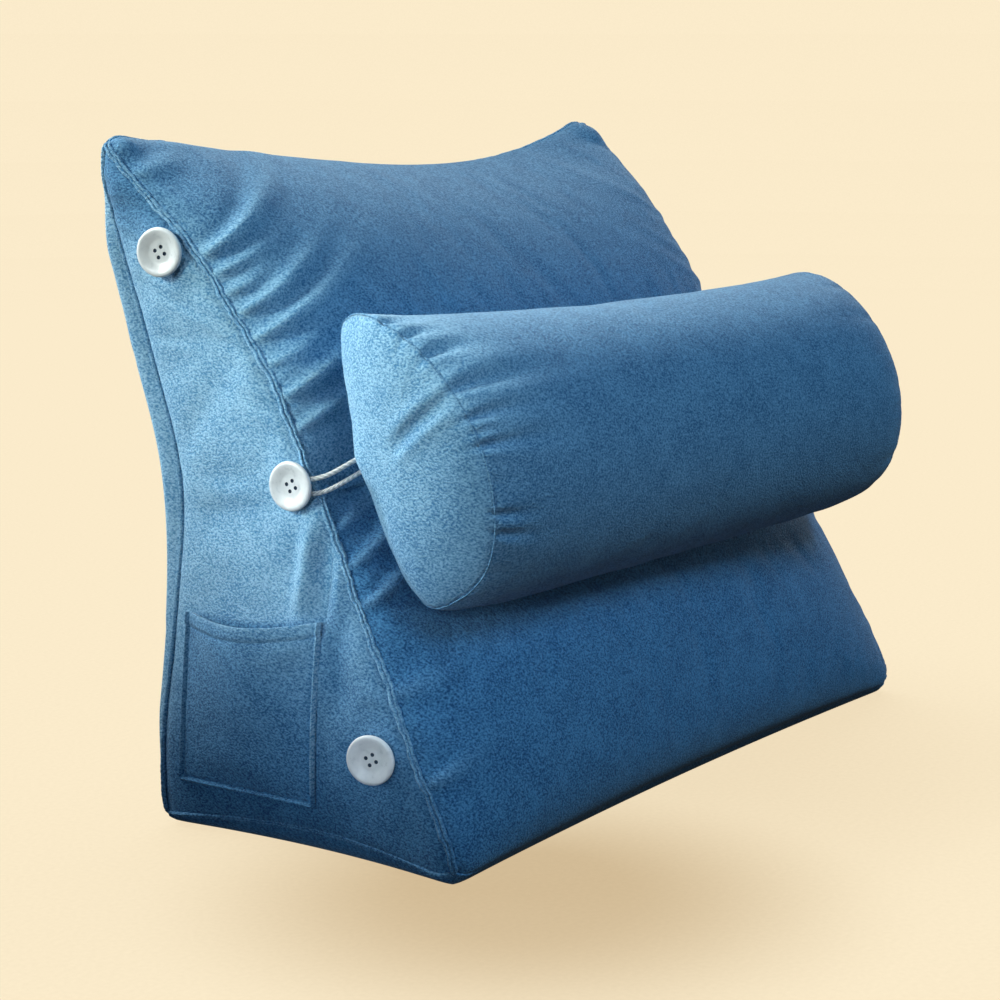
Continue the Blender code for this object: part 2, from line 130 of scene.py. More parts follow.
POCKET_EDGE_REACH, POCKET_THINNEST, POCKET_MOUTH_SHARE = 0.0016, 0.0006, 0.7
POCKET_ROLL_PLACE, POCKET_ROLL_REACH = 0.0017, 0.0012  # from the edge
POCKET_STITCH_PLACE, POCKET_STITCH_REACH = 0.0041, 0.0011
HEM_STEP, HEM_STITCH_REACH = 0.0006, 0.0014
POCKET_CLEAR, POCKET_CLEAR_ABOVE = 0.015, 0.02  # the side's folds fade over this far round the pocket

# Nap: 0 where the pile is brushed against the light, and 1 where it lies along the light. The same values
# also paint light and shade: the sides, back and caps take a lighter tone than the front, base and bolster
# body, partly the pile's own tone and partly painted light. Over that come painted shade toward the foot and
# the ears of the sides, below the middle buttons, inside the pocket and over the lower part of the caps, and
# painted light on the gathers, the seams, the pocket and the near end of the bolster.
# Panel tones, partly the pile's own and partly painted light: the back, the sides and the bolster's caps are
# set lighter than the front and the base.
BACK_NAP_AND_PAINTED_LIGHT = 0.9
# Painted shade on both sides: toward the foot and the ear, below the middle button and at the front of the
# foot
SIDE_NAP_AND_PAINTED_LIGHT, SIDE_FOOT_PAINTED_SHADE_HEIGHTS = 0.95, (0.02, 0.19)
SIDE_EAR_PAINTED_SHADE, SIDE_EAR_HEIGHTS = 0.85, (0.385, 0.435)
SIDE_FOLD_PAINTED_SHADOW, SIDE_FOLD_HEIGHTS = 0.65, (0.09, 0.13, 0.16, 0.20)
SIDE_FOLD_Y, SIDE_FOLD_REACH = -0.028, 0.013
SIDE_TOE_PAINTED_SHADE, SIDE_TOE_Y, SIDE_TOE_HEIGHTS = 0.35, (0.02, -0.07), (0.20, 0.10)
MOUTH_PAINTED_SHADOW, MOUTH_DARK_REACH, MOUTH_DARK_EDGE = 0.9, (0.005, 0.0005), 0.4
# Painted light on the front: toward its top and beside its left seam, and painted highlights on the gathers'
# crests
FRONT_TOP_PAINTED_LIGHT, FRONT_TOP_HEIGHTS = 0.30, (0.30, 0.44)
GATHER_PAINTED_LIGHT, GATHER_LIGHT_REACH, GATHER_HEIGHTS = 0.65, 0.055, (0.22, 0.28, 0.38, 0.46)
CREST_PAINTED_HIGHLIGHT, GATHERED_CREST_PAINTED_HIGHLIGHT, CREST_DEPTH = 0.30, 0.25, 0.0028
# Pocket: painted shade toward its foot, painted light toward its top, its mouth, its front top corner and
# its rolled edges, and a front rim band painted lighter
POCKET_NAP_AND_PAINTED_LIGHT, POCKET_PAINTED_SHADE_RISE = 0.14, (0.0, 0.6)
POCKET_CORNER_PAINTED_LIGHT, POCKET_CORNER_SLANT, POCKET_CORNER_RISE = 0.30, 0.8, (0.30, 0.80)
POCKET_TOP_PAINTED_LIGHT, POCKET_TOP_RISE = 0.12, (0.6, 1.0)
MOUTH_PAINTED_LIGHT, MOUTH_LIGHT_REACH = 0.40, 0.0020
ROLL_PAINTED_HIGHLIGHT, FRONT_ROLL_PAINTED_HIGHLIGHT, ROLL_HIGHLIGHT_RISE, FRONT_HALF = 0.35, 0.65, (0.0, 0.25), (0.6, 0.4)
ROLL_HIGHLIGHT_PLACE, ROLL_HIGHLIGHT_REACH = 0.0012, 0.0018
FRONT_RIM_PAINTED_LIGHT = 0.6
# Bolster: painted shade over the lower part and the lower front of each cap, and painted light on the body
# beside the near cap
CAP_NAP_AND_PAINTED_LIGHT, CAP_LOW_PAINTED_SHADE, CAP_LOW_REACH = 0.85, 0.30, (0.0, -0.085)
CAP_TOE_PAINTED_SHADE, CAP_TOE_OUT, CAP_TOE_UP = 0.50, (0.015, 0.080), (0.04, -0.03)
BODY_NAP_LOW, BODY_PAINTED_LIGHT_REACH = 0.24, 0.052

# Gathers of the front at its side seams: height at the seam, length, width, depth, rise per length
FRONT_GATHERS = (
    (0.455, 0.050, 0.0050, 0.0022, 0.30),
    (0.401, 0.095, 0.0046, 0.0042, 0.47),
    (0.388, 0.050, 0.0036, 0.0026, 0.45),
    (0.376, 0.038, 0.0036, 0.0022, 0.42),
    (0.363, 0.080, 0.0044, 0.0040, 0.46),
    (0.346, 0.090, 0.0046, 0.0044, 0.44),
    (0.329, 0.042, 0.0036, 0.0022, 0.42),
    (0.308, 0.060, 0.0044, 0.0036, 0.45),
    (0.287, 0.056, 0.0044, 0.0034, 0.45),
    (0.222, 0.040, 0.0044, 0.0022, 0.40),
    (0.199, 0.048, 0.0042, 0.0034, 0.45),
    (0.174, 0.048, 0.0042, 0.0034, 0.45),
    (0.120, 0.035, 0.0060, 0.0015, 0.30),
    (0.064, 0.035, 0.0048, 0.0020, 0.40),
)
GATHER_START = 0.7  # share of its width that a gather has at the seam
RIGHT_GATHERS = {"strength": 0.2, "shift": -0.011}  # the same rows beside the right seam, which hardly shows
SIDE_GATHERS = {"strength": 0.10, "shift": -0.004}  # and on the sides

# Ears filled to a ball (centre, radius), and base corners drawn in
EARS = (((-0.2915, 0.1660, 0.4710), 0.0085), ((0.2850, 0.1630, 0.4570), 0.0175))
EAR_SOFTNESS, EAR_LIFT, EAR_REACH = 0.009, 0.0035, 0.035
CORNER_REACH, CORNER_DRAW = 0.010, 0.0035
CORNER_LIFT, BACK_CORNER_SHARE = 0.6, 0.3  # against the draw of a front corner

# Roll of the cloth beside the seams, and a side's folds
SIDE_ROLL, SIDE_ROLL_REACH = 0.0022, 0.012
SIDE_ROLL_REAR = 0.7  # share of the roll that stands beside the back seam
SEAM_DIP, SEAM_DIP_REACH = 0.0012, 0.0022
BACK_ROLL, BACK_ROLL_REACH = 0.0065, 0.012
BACK_ROLL_HEIGHTS = (0.13, 0.25, 0.40, 0.46)
NARROW_SIDE, PLAIN_TIP = 0.03, 0.3  # a side's folds fade out in its narrow tip
CREASE_INSET = 0.1
SIDE_CREASES = (
    # start and end as y and height, width, height of the ridge
    ((-0.001, 0.236), (0.004, 0.150), 0.0066, 0.0080),
    ((-0.014, 0.226), (-0.017, 0.150), 0.0060, -0.0064),
    ((-0.001, 0.243), (-0.015, 0.213), 0.0050, 0.0030),
    ((-0.022, 0.170), (-0.040, 0.095), 0.0110, -0.0040),
    ((0.030, 0.205), (0.026, 0.165), 0.0090, -0.0024),
    ((0.118, 0.236), (0.035, 0.243), 0.0085, 0.0026),
    ((0.110, 0.205), (0.045, 0.190), 0.012, 0.0016),
    ((0.100, 0.420), (0.120, 0.370), 0.008, 0.0012),
)

# Seams: the two cut edges stand side by side as a ridge of two lips; across and out, in millimetres
RIDGE_PROFILE = (
    (-2.2, -1.6), (-2.35, 0.2), (-2.1, 1.3), (-1.6, 1.95), (-1.1, 2.1), (-0.6, 1.8), (-0.25, 1.1),
    (0.0, 0.8), (0.25, 1.1), (0.6, 1.8), (1.1, 2.1), (1.6, 1.95), (2.1, 1.3), (2.35, 0.2), (2.2, -1.6),
)
RIDGE_WAVES = ((0.0085, 0.10), (0.019, 0.16), (0.043, 0.22), (0.110, 0.30))  # wavelength, share
SEAMS = (
    # panel and its edge, panel and its edge, size, wander from the seam's line
    ("front", "west", "left", "west", 1.15, 0.0017),
    ("front", "east", "right", "west", 1.15, 0.0017),
    ("back", "west", "left", "east", 0.9, 0.0008),
    ("back", "east", "right", "east", 0.9, 0.0008),
    ("front", "north", "back", "north", 0.7, 0.0006),
    ("front", "south", "base", "south", 0.7, 0.0008),
    ("back", "south", "base", "north", 0.7, 0.0008),
    ("left", "south", "base", "west", 0.8, 0.0006),
    ("right", "south", "base", "east", 0.8, 0.0006),
)
RIDGE_STEP, RIDGE_END, STITCH_PITCH = 0.0012, 0.004, 0.0042
# Seam ridges: a light tone, partly pile and partly painted light, with painted shade toward the foot of the
# wedge
RIDGE_NAP_AND_PAINTED_LIGHT, RIDGE_FOOT_NAP, RIDGE_FOOT_SHADE_HEIGHTS = 0.75, 0.1, (0.0, 0.16)
RIDGE_PINCH, RIDGE_UNEVENNESS = (0.10, 8), 0.22  # each stitch draws the ridge in: depth, sharpness

# Folds pressed into the bolster from its end seams: angle round it in degrees, length, width, depth
NEAR_TUCKS = (
    (118, 0.012, 0.0040, 0.0030),
    (108, 0.014, 0.0040, 0.0034),
    (90, 0.016, 0.0060, 0.0016),
    (68, 0.019, 0.0042, 0.0064),
    (57, 0.022, 0.0036, 0.0056),
    (45, 0.030, 0.0048, 0.0070),
    (25, 0.054, 0.0062, 0.0088),
    (9, 0.042, 0.0044, 0.0066),
    (1, 0.020, 0.0034, 0.0018),
    (-6, 0.044, 0.0048, 0.0060),
    (-24, 0.016, 0.0060, 0.0010),
    (-39, 0.022, 0.0036, 0.0042),
    (-48, 0.026, 0.0036, 0.0040),
    (-66, 0.016, 0.0050, 0.0012),
    (-84, 0.018, 0.0060, 0.0018),
    (-104, 0.020, 0.0070, 0.0020),
)
BOLSTER_MEAN_RADIUS = 0.093
NEAR_BACK_TUCKS, FAR_TUCKS = (3, 17, 0.0040), (7, 17, 0.0018)  # seed, count, deepest
NEAR_SEEN = (-110, 118)  # between these angles the near end's tucks are those above
TUCK_LENGTHS, TUCK_WIDTHS, TUCK_JITTER, TUCK_SHALLOWEST = (0.022, 0.045), (0.005, 0.007), 0.3, 0.3
TUCK_PAST_SEAM, TUCK_AT_SEAM, TUCK_RISE = 0.006, 0.4, 0.005
TUCK_START, TUCK_WIDENING = 0.75, 0.7
TUCK_HOLLOW, TUCK_BANK, TUCK_BANK_WIDTH = 1.15, 0.45, 2.2
NEAR_PINCH_TOP, FAR_PINCH_TOP = -0.050, -0.022
NEAR_SQUARENESS, NEAR_REAR_DRAW = 2.7, 0.26
NEAR_TILT, NEAR_TILT_REACH, NEAR_TILT_OUT = 0.13, 0.045, (-0.015, 0.045)
END_SEAM_DIP, END_SEAM_DIP_REACH = 0.0009, 0.0024
END_SEAM_SIZE, END_SEAM_NAP = 0.28, 0.6  # against the wedge's ridges
END_SEAM_PINCH, END_SEAM_UNEVENNESS = (0.15, 6), 0.3
WAIST = 0.0085  # the bolster's top sags so much in the middle
CAP_FOLD = ((0.006, 0.009), (0.076, 0.031), 0.0052, 0.0044)  # outward and up at both ends, width, depth
CORD_PULL_AT, CORD_PULL, CORD_PULL_REACH = (-0.270, -0.022, 0.268), 0.006, 0.018
REAR_FADE = 0.012  # the rear flat takes no folds, and they grow over this far in front of it

# Buttons, each on a thread stem: radius and height, in millimetres
BUTTON_PROFILE = (
    (2.4, 0.0), (2.4, 4.2), (9.0, 4.3), (13.5, 4.5), (15.8, 5.0), (16.9, 5.9), (17.2, 6.9),
    (16.95, 7.85), (16.3, 8.5), (15.4, 8.8), (14.4, 8.75), (13.2, 8.4), (11.8, 7.9), (10.4, 7.35),
    (9.2, 6.8), (8.2, 6.45), (7.2, 6.25), (6.0, 6.15),
)
BUTTON_SEGMENTS = 72
HOLE_RADIUS, HOLE_RING, HOLE_FLOOR, HOLE_TURN = 0.00140, 0.0038, 0.0054, math.radians(75)
BUTTONS = {
    # place: y, height, turn of its face from the side toward the front
    "top": (0.122, 0.404, math.radians(14)),
    "mid": (0.014, 0.251, math.radians(4)),
    "bottom": (-0.066, 0.078, math.radians(15)),
}
STEM_HEIGHT, STEM_RADIUS = 0.0044, 0.0028
DRILL_SIDES, DRILL_LENGTH, SOFT_EDGE = 20, 0.004, math.radians(40)

# Elastic loops from the ends of the bolster round the middle buttons
CORD_RADIUS, LOOP_SPREAD = 0.0016, 0.0052
LOOP_SEAM_OUT, LOOP_SEAM_FORWARD, LOOP_BEND = 0.0050, 0.0085, 0.014
LOOP_END_BACK, LOOP_END_UP, LOOP_END_INSIDE = 0.018, 0.020, 0.020
LOOP_ARC_STEPS, LOOP_BEND_STEPS = 12, 10
CORD_STEP, CORD_SIDES, BRAID_PITCH, BRAID_DEPTH = 0.0003, 14, 0.0021, 0.05

# Plush: real pile stands about 0.5 mm apart, too fine to show, so its tufts are drawn 1.6 mm apart;
# crushed patches are about 22 mm wide
TUFTS_PER_METRE, CRUSH_PER_METRE = 620.0, 45.0
# Dark tones of pile against the nap, also used as painted shade, and light tones of pile along it, also used
# as painted light; roots and tips of each
AGAINST_NAP_AND_PAINTED_SHADE, ALONG_NAP_AND_PAINTED_LIGHT = ("#204E7B", "#508EBE"), ("#4A86B4", "#9DC9E3")  # roots, tips
HAZE_PER_METRE = 220.0  # haze of a tumbled button, in patches 4.5 mm wide
STRANDS_PER_METRE = 1800.0  # strands of the thread, 0.55 mm apart
BRAID_SCALE = 160.0  # bands of the cord's threads 3.9 mm apart along it

# Studio
GRAIN_PER_METRE = 260.0  # paper grain, drawn 3.8 mm coarse so that it shows
CAMERA_PLACE = (-1.554, -1.045, 0.539)
CAMERA_TURN, CAMERA_DIP = math.radians(54.86), math.radians(10.23)
CAMERA_LENS, CAMERA_SENSOR, CAMERA_SHIFT = 88.81, 36, (-0.002, -0.003)
SWEEP_FLOOR, SWEEP_CURVE, SWEEP_WALL, CARD_DEPTH = 3.5, 2.0, 1.5, 0.45
SWEEP_SEGMENTS, SWEEP_STEPS = 96, 12
SUBJECT = (-0.1, 0, 0.25)
LIGHTS = (
    # name, bearing and height of its direction in degrees, aim, distance, size, cone in degrees, power, tint
    ("window_behind", 105, 48, SUBJECT, 2.6, 0.9, 0, 50, "#FFFBF2"),
    ("key_spot", 150, 25, (-0.25, -0.02, 0.36), 2.0, 0.2, 12.5, 290, "#F6FFF2"),
    ("side_spot", 175, 20, (-0.29, 0.11, 0.34), 2.0, 0.16, 11, 58, "#F0F6FF"),
    ("cap_spot", 200, 20, (-0.27, -0.12, 0.26), 2.0, 0.15, 8, 70, "#E0F0FF"),
    ("low_spot", 190, 10, (-0.30, -0.03, 0.11), 2.0, 0.15, 9.5, 66, "#C8E4FF"),
    ("rim_spot", 112, 14, (-0.30, 0.15, 0.33), 2.0, 0.16, 9, 205, "#F6F8FF"),
    ("right_fill", 10, 15, SUBJECT, 2.6, 0.9, 0, 30, "#FFF4EA"),
    ("front_fill", 285, 48, SUBJECT, 2.6, 0.9, 0, 28, "#B8E6FF"),
    ("front_low", 250, 10, SUBJECT, 2.6, 0.9, 0, 5, "#FFF3E6"),
    ("button_fill", 222, 25, (-0.31, -0.07, 0.078), 1.5, 0.2, 9, 95, "#F2F7FF"),
)
BUTTON_LIGHTS = ("button_fill",)
AIR_COLOUR = "#C6DEF6"
# The cushion's shadow on the paper is painted: a contact shade found by an occlusion test, and a pool of
# shade before the cushion's near left corner
SHADOW_REACH, SHADOW_LEAN, CONTACT_SHADOW_SHARE = 0.30, (0.36, 0.73, 0.58), 0.32
CONTACT_SHADOW_OPENNESS, PAPER_GRAIN = (0.35, 0.97), (0.955, 1.045)
SHADOW_POOL_CENTRE, SHADOW_POOL_REACH, SHADOW_POOL_SHARE = (-0.305, -0.185, 0.0), (0.05, 0.26), 0.80


def linear(code):
    """An sRGB hex colour as linear red, green and blue."""
    parts = [int(code[i : i + 2], 16) / 255 for i in (1, 3, 5)]
    return tuple(c / 12.92 if c <= 0.04045 else ((c + 0.055) / 1.055) ** 2.4 for c in parts)


def smooth_through(knots, values, at):
    """A smooth curve through values that stand at knots along their first axis."""
    slope = np.gradient(values, knots, axis=0)
    at = np.clip(at, knots[0], knots[-1])
    i = np.clip(np.searchsorted(knots, at, side="right") - 1, 0, len(knots) - 2)
    shape = at.shape + (1,) * (values.ndim - 1)
    step = (knots[i + 1] - knots[i]).reshape(shape)
    t = (at - knots[i]).reshape(shape) / step
    start = (1 + 2 * t) * (1 - t) ** 2 * values[i] + t * (1 - t) ** 2 * step * slope[i]
    end = t**2 * (3 - 2 * t) * values[i + 1] + t**2 * (t - 1) * step * slope[i + 1]
    return start + end


def section_value(column, height):
    rows = np.array(SIDE_SECTIONS)
    return smooth_through(rows[:, 0], rows[:, column], np.asarray(height, float))


def seam_height(share):
    low, high = SIDE_SECTIONS[0][0], SIDE_SECTIONS[-1][0]
    return low + (high - low) * share


def seam_lines(count, crowding=EDGE_CROWDING):
    """Shares along a seam for count + 1 mesh lines, closer together at both ends."""
    even = np.linspace(0, 1, count + 1)
    crowded = (1 - np.cos(math.pi * even)) / 2
    return even + (crowded - even) * crowding


def rise(share, fullness=CROWN_FULLNESS, edge=CROWN_EDGE):
    """0 on both seams of a panel and 1 over its middle."""
    return (1 - np.abs(2 * np.clip(share, 0, 1) - 1) ** fullness) ** edge


def arch(share):
    return np.sin(math.pi * np.clip(share, 0, 1))


def points(x, y, z):
    return np.stack(np.broadcast_arrays(x, y, z), axis=-1)


def upright_seam(column, side, share):
    """The seam of a side with the front or the back, from the base to the ear."""
    height = seam_height(share)
    return points(side * section_value(3, height), section_value(column, height), height)


def front_seam(side, share):
    return upright_seam(1, side, share)


def back_seam(side, share):
    return upright_seam(2, side, share)


def base_side_seam(side, share):
    """The seam of a side with the base, from front to back."""
    height, front, back, half_span, _ = SIDE_SECTIONS[0]
    return points(
        side * (half_span - BASE_SEAM_DRAW * arch(share)),
        front + (back - front) * share,
        height + BASE_SEAM_LIFT * arch(share),
    )


def long_seam(end, share, up, forward):
    """A seam along X between two like corners, its middle moved up and forward."""
    bow = arch(share) ** SEAM_BOW
    return points(end[0] * (1 - 2 * share), end[1] - forward * bow, end[2] + up * bow)


def top_seam(share):
    ear = front_seam(LEFT, np.array(1.0))
    level = long_seam(ear, share, 0, TOP_SEAM_FORWARD)
    from_ear = np.minimum(share, 1 - share) / EAR_REACH
    lift = EAR_LIFT * from_ear * np.exp(1 - from_ear)
    return level + points(0, 0, lift - TOP_SEAM_SAG * arch(share**TOP_SEAM_SKEW) ** SEAM_BOW)


def front_base_seam(share):
    return long_seam(front_seam(LEFT, np.array(0.0)), share, BASE_SEAM_LIFT / 2, -BASE_SEAM_DRAW)


def back_base_seam(share):
    return long_seam(back_seam(LEFT, np.array(0.0)), share, BASE_SEAM_LIFT / 2, BASE_SEAM_DRAW)


def coons(u, v, south, north, west, east):
    """A surface between four seams; u runs from west to east and v from south to north."""
    u3, v3 = u[..., None], v[..., None]
    zero, one = np.array(0.0), np.array(1.0)
    ruled = (1 - v3) * south(u) + v3 * north(u) + (1 - u3) * west(v) + u3 * east(v)
    low = (1 - u3) * south(zero) + u3 * south(one)
    high = (1 - u3) * north(zero) + u3 * north(one)
    return ruled - (1 - v3) * low - v3 * high


def side_panel(side, u, v):
    """A triangular side, u from front to back and v from the base to the ear."""
    ear = front_seam(side, np.array(1.0))
    flat = coons(
        u,
        v,
        lambda s: base_side_seam(side, s),
        lambda s: np.broadcast_to(ear, s.shape + (3,)),
        lambda s: front_seam(side, s),
        lambda s: back_seam(side, s),
    )
    swell = section_value(4, seam_height(v)) * rise(u, SIDE_FULLNESS, SIDE_EDGE) * rise(v)
    return flat + swell[..., None] * np.array([side, 0, 0])


def smooth_minimum(a, b, softness):
    blend = np.clip(0.5 + 0.5 * (b - a) / softness, 0, 1)
    return b + (a - b) * blend - softness * blend * (1 - blend)


def bolster_axes():
    """Unit vectors along the bolster, outward from the slope, and up the slope."""
    up = Vector((0, math.sin(SLOPE_LEAN), math.cos(SLOPE_LEAN)))
    along = Matrix.Rotation(-BOLSTER_YAW, 3, up) @ Vector((1, 0, 0))
    outward = along.cross(up)
    droop = Matrix.Rotation(-BOLSTER_DROOP, 3, outward)
    return [np.array(axis) for axis in (droop @ along, outward, droop @ up)]


def seat_level(along, up):
    """How far outward the front may stand under the bolster, in the bolster's frame."""
    past = np.maximum(0, np.abs(up) - SEAT_HALF_HEIGHT) ** 2
    past = past + np.maximum(0, np.abs(along) - BOLSTER_HALF_LENGTH) ** 2
    return past / (2 * SEAT_FLARE) - BOLSTER_REAR_FLAT - PIECE_GAP


def front_panel(u, v):
    """The sloping front, pulled in by the loops and pressed flat under the bolster."""
    flat = coons(
        u,
        v,
        front_base_seam,
        top_seam,
        lambda s: front_seam(LEFT, s),
        lambda s: front_seam(RIGHT, s),
    )
    lean = FRONT_PUFF_LOW + (FRONT_PUFF_HIGH - FRONT_PUFF_LOW) * v
    outward = points(0, -np.cos(lean), np.sin(lean))
    half_span = SIDE_SECTIONS[0][3]
    from_side = np.minimum(u, 1 - u) * 2 * half_span
    away = ((flat[..., 2] - PULL_HEIGHT) / PULL_TALL) ** 2 + (from_side / PULL_WIDE) ** 2
    crown = FRONT_CROWN_LOW + (FRONT_CROWN_HIGH - FRONT_CROWN_LOW) * v
    swell = crown * rise(u) * rise(v) * (1 - PULL_DEPTH * np.exp(-away))
    along, out, up = bolster_axes()
    offset = flat - BOLSTER_CENTRE
    room = (seat_level(offset @ along, offset @ up) - offset @ out) / (outward @ out)
    pressed = np.maximum(smooth_minimum(swell, room, SEAT_SOFTNESS), 0)
    return flat + np.where(swell > SEAT_SOFTNESS, pressed, swell)[..., None] * outward


def back_panel(u, v):
    flat = coons(
        u,
        v,
        back_base_seam,
        top_seam,
        lambda s: back_seam(LEFT, s),
        lambda s: back_seam(RIGHT, s),
    )
    swell = BACK_CROWN * rise(u, edge=BACK_EDGE) * rise(v, edge=1)
    return flat + swell[..., None] * np.array([0, 1, 0])


def base_panel(u, v):
    """The base, rounded down from its seams to one flat that stands on the floor."""
    surface = coons(
        u,
        v,
        front_base_seam,
        back_base_seam,
        lambda s: base_side_seam(LEFT, s),
        lambda s: base_side_seam(RIGHT, s),
    )
    _, front, back, half_span, _ = SIDE_SECTIONS[0]
    from_side = np.minimum(u, 1 - u) * 2 * half_span
    from_end = np.minimum(v, 1 - v) * (back - front)
    inward = np.clip(np.minimum(from_side, from_end) / BASE_ROUNDING, 0, 1)
    surface[..., 2] *= 1 - np.sqrt(1 - (1 - inward) ** 2)
    return surface


def normals_of(grid, hint):
    """Unit normals of a grid of points, on the side of the hint."""
    across = np.gradient(grid, axis=1)
    if np.allclose(grid[:, 0], grid[:, -1]):
        across[:, 0] = across[:, -1] = (grid[:, 1] - grid[:, -2]) / 2
    normal = np.cross(across, np.gradient(grid, axis=0))
    length = np.linalg.norm(normal, axis=-1, keepdims=True)
    normal = normal / np.maximum(length, 1e-12)
    normal[-1] = normal[-2]
    middle = normal[normal.shape[0] // 2, normal.shape[1] // 2]
    return normal * (1 if middle @ np.array(hint) > 0 else -1)


def run_along(grid, axis):
    """Distance along each mesh line from its first point."""
    step = np.linalg.norm(np.diff(grid, axis=axis), axis=-1)
    run = np.cumsum(step, axis=axis)
    return np.concatenate([np.zeros_like(np.take(run, [0], axis=axis)), run], axis=axis)


def gathers(distance, height, strength=1.0, shift=0.0):
    """Ridges and hollows that run from a seam into a panel, each deepest at a third of its length."""
    total = np.zeros(distance.shape)
    for level, length, width, depth, climb in FRONT_GATHERS:
        share = distance / (length / 3)
        fade = share * np.exp(1 - share)
        across = (height - (level + shift) - climb * distance) / (width * (GATHER_START + distance / length))
        total += depth * fade * (1 - across**2) * np.exp(-(across**2) / 2)
    return total * strength


def from_sides(grid):
    """How far each point lies from the first and from the last column of its grid."""
    from_first = run_along(grid, 1)
    return from_first, from_first[:, -1:] - from_first


def front_detail(grid):
    from_left, from_right = from_sides(grid)
    height = grid[..., 2]
    swell = gathers(from_left, height)
    swell += gathers(from_right, height, **RIGHT_GATHERS)
    return swell + seam_dip(from_left) + seam_dip(from_right)


def seam_dip(distance):
    """The hollow beside a seam's ridge."""
    return -roll(distance, SEAM_DIP, SEAM_DIP_REACH)


def roll(distance, high, reach):
    """A swell beside a seam, highest at its reach from the seam."""
    share = distance / reach
    return high * share * np.exp(1 - share)


def back_detail(grid):
    """The back stands out in a roll close beside its upright seams."""
    window = between(BACK_ROLL_HEIGHTS, grid[..., 2])
    return sum(window * roll(distance, BACK_ROLL, BACK_ROLL_REACH) for distance in from_sides(grid))


def side_detail(grid):
    """The roll of a side beside its upright seams, and the folds round the middle button."""
    y, height = grid[..., 1], grid[..., 2]
    from_front, from_back = from_sides(grid)
    swell = gathers(from_front, height, **SIDE_GATHERS)
    for distance, high in ((from_front, SIDE_ROLL), (from_back, SIDE_ROLL * SIDE_ROLL_REAR)):
        swell += roll(distance, high, SIDE_ROLL_REACH) + seam_dip(distance)
    for row in SIDE_CREASES:
        swell += crease(y, height, *row)
    return swell * np.clip(from_front[:, -1:] / NARROW_SIDE - PLAIN_TIP, 0, 1)


def crease(a, b, start, end, width, high):
    """A rounded ridge (or a hollow, if its height is negative) between two points of a panel."""
    start, end = np.array(start), np.array(end)
    reach = np.linalg.norm(end - start)
    along, off = (end - start) / reach, np.stack([a - start[0], b - start[1]], axis=-1)
    share = off @ along / reach
    across = (off[..., 0] * along[1] - off[..., 1] * along[0]) / width
    fade = arch(np.clip(share, 0, 1) * (1 - 2 * CREASE_INSET) + CREASE_INSET) - arch(CREASE_INSET)
    return high * np.maximum(fade, 0) * (1 - across**2) * np.exp(-(across**2) / 2)


def smooth_step(low, high, value):
    t = np.clip((value - low) / (high - low), 0, 1)
    return t * t * (3 - 2 * t)


def between(heights, value):
    """0 outside four heights and 1 between the middle two."""
    low, full, last_full, high = heights
    return smooth_step(low, full, value) * (1 - smooth_step(last_full, high, value))


def bell(distance, reach):
    """1 at no distance, falling off smoothly over the reach."""
    return np.exp(-((distance / reach) ** 2))


def round_corners(grid):
    """Fill both ears to a round tip and round the corners of the base."""
    for centre, radius in EARS:
        off = grid - np.array(centre)
        reach = np.maximum(np.linalg.norm(off, axis=-1, keepdims=True), 1e-6)
        grid = np.array(centre) + off / reach * -smooth_minimum(-reach, -radius, EAR_SOFTNESS)
    low, front, back, half_span, _ = SIDE_SECTIONS[0]
    for side in (LEFT, RIGHT):
        for y, inward, draw in ((front, 1, CORNER_DRAW), (back, -1, BACK_CORNER_SHARE * CORNER_DRAW)):
            corner = np.array((side * half_span, y, low))
            near = np.exp(-(((grid - corner) ** 2).sum(-1, keepdims=True)) / CORNER_REACH**2)
            grid = grid + near * draw * np.array((-side, inward, CORNER_LIFT))
    return grid


def side_nap_and_painted_shade(grid):
    """A side's pile lies light over its middle, with painted shade toward the ear and the base, below the
    middle button and at the front of its foot.
    """
    y, z = grid[..., 1], grid[..., 2]
    ear = SIDE_EAR_PAINTED_SHADE * smooth_step(*SIDE_EAR_HEIGHTS, z)
    fold = SIDE_FOLD_PAINTED_SHADOW * bell(y - SIDE_FOLD_Y, SIDE_FOLD_REACH) * between(SIDE_FOLD_HEIGHTS, z)
    toe = SIDE_TOE_PAINTED_SHADE * smooth_step(*SIDE_TOE_Y, y) * smooth_step(*SIDE_TOE_HEIGHTS, z)
    return SIDE_NAP_AND_PAINTED_LIGHT * smooth_step(*SIDE_FOOT_PAINTED_SHADE_HEIGHTS, z) * (1 - ear) * (1 - fold) * (1 - toe)


def pocket_mouth(u):
    """Height of the pocket's mouth, u running from its front edge to its rear one."""
    return POCKET_TOP_Z + POCKET_TOP_TILT * (1 - 2 * u) - POCKET_TOP_SAG * arch(u)


def left_side_nap_and_painted_shadow(grid):
    """The left side with painted shadow inside the pocket, up to a little above its mouth."""
    u = np.clip((grid[..., 1] - POCKET_FRONT_Y) / (POCKET_REAR_Y - POCKET_FRONT_Y), 0, 1)
    above_mouth = grid[..., 2] - pocket_mouth(u)
    inside = smooth_step(*MOUTH_DARK_REACH, above_mouth) * arch(u) ** MOUTH_DARK_EDGE
    return side_nap_and_painted_shade(grid) * (1 - MOUTH_PAINTED_SHADOW * inside)


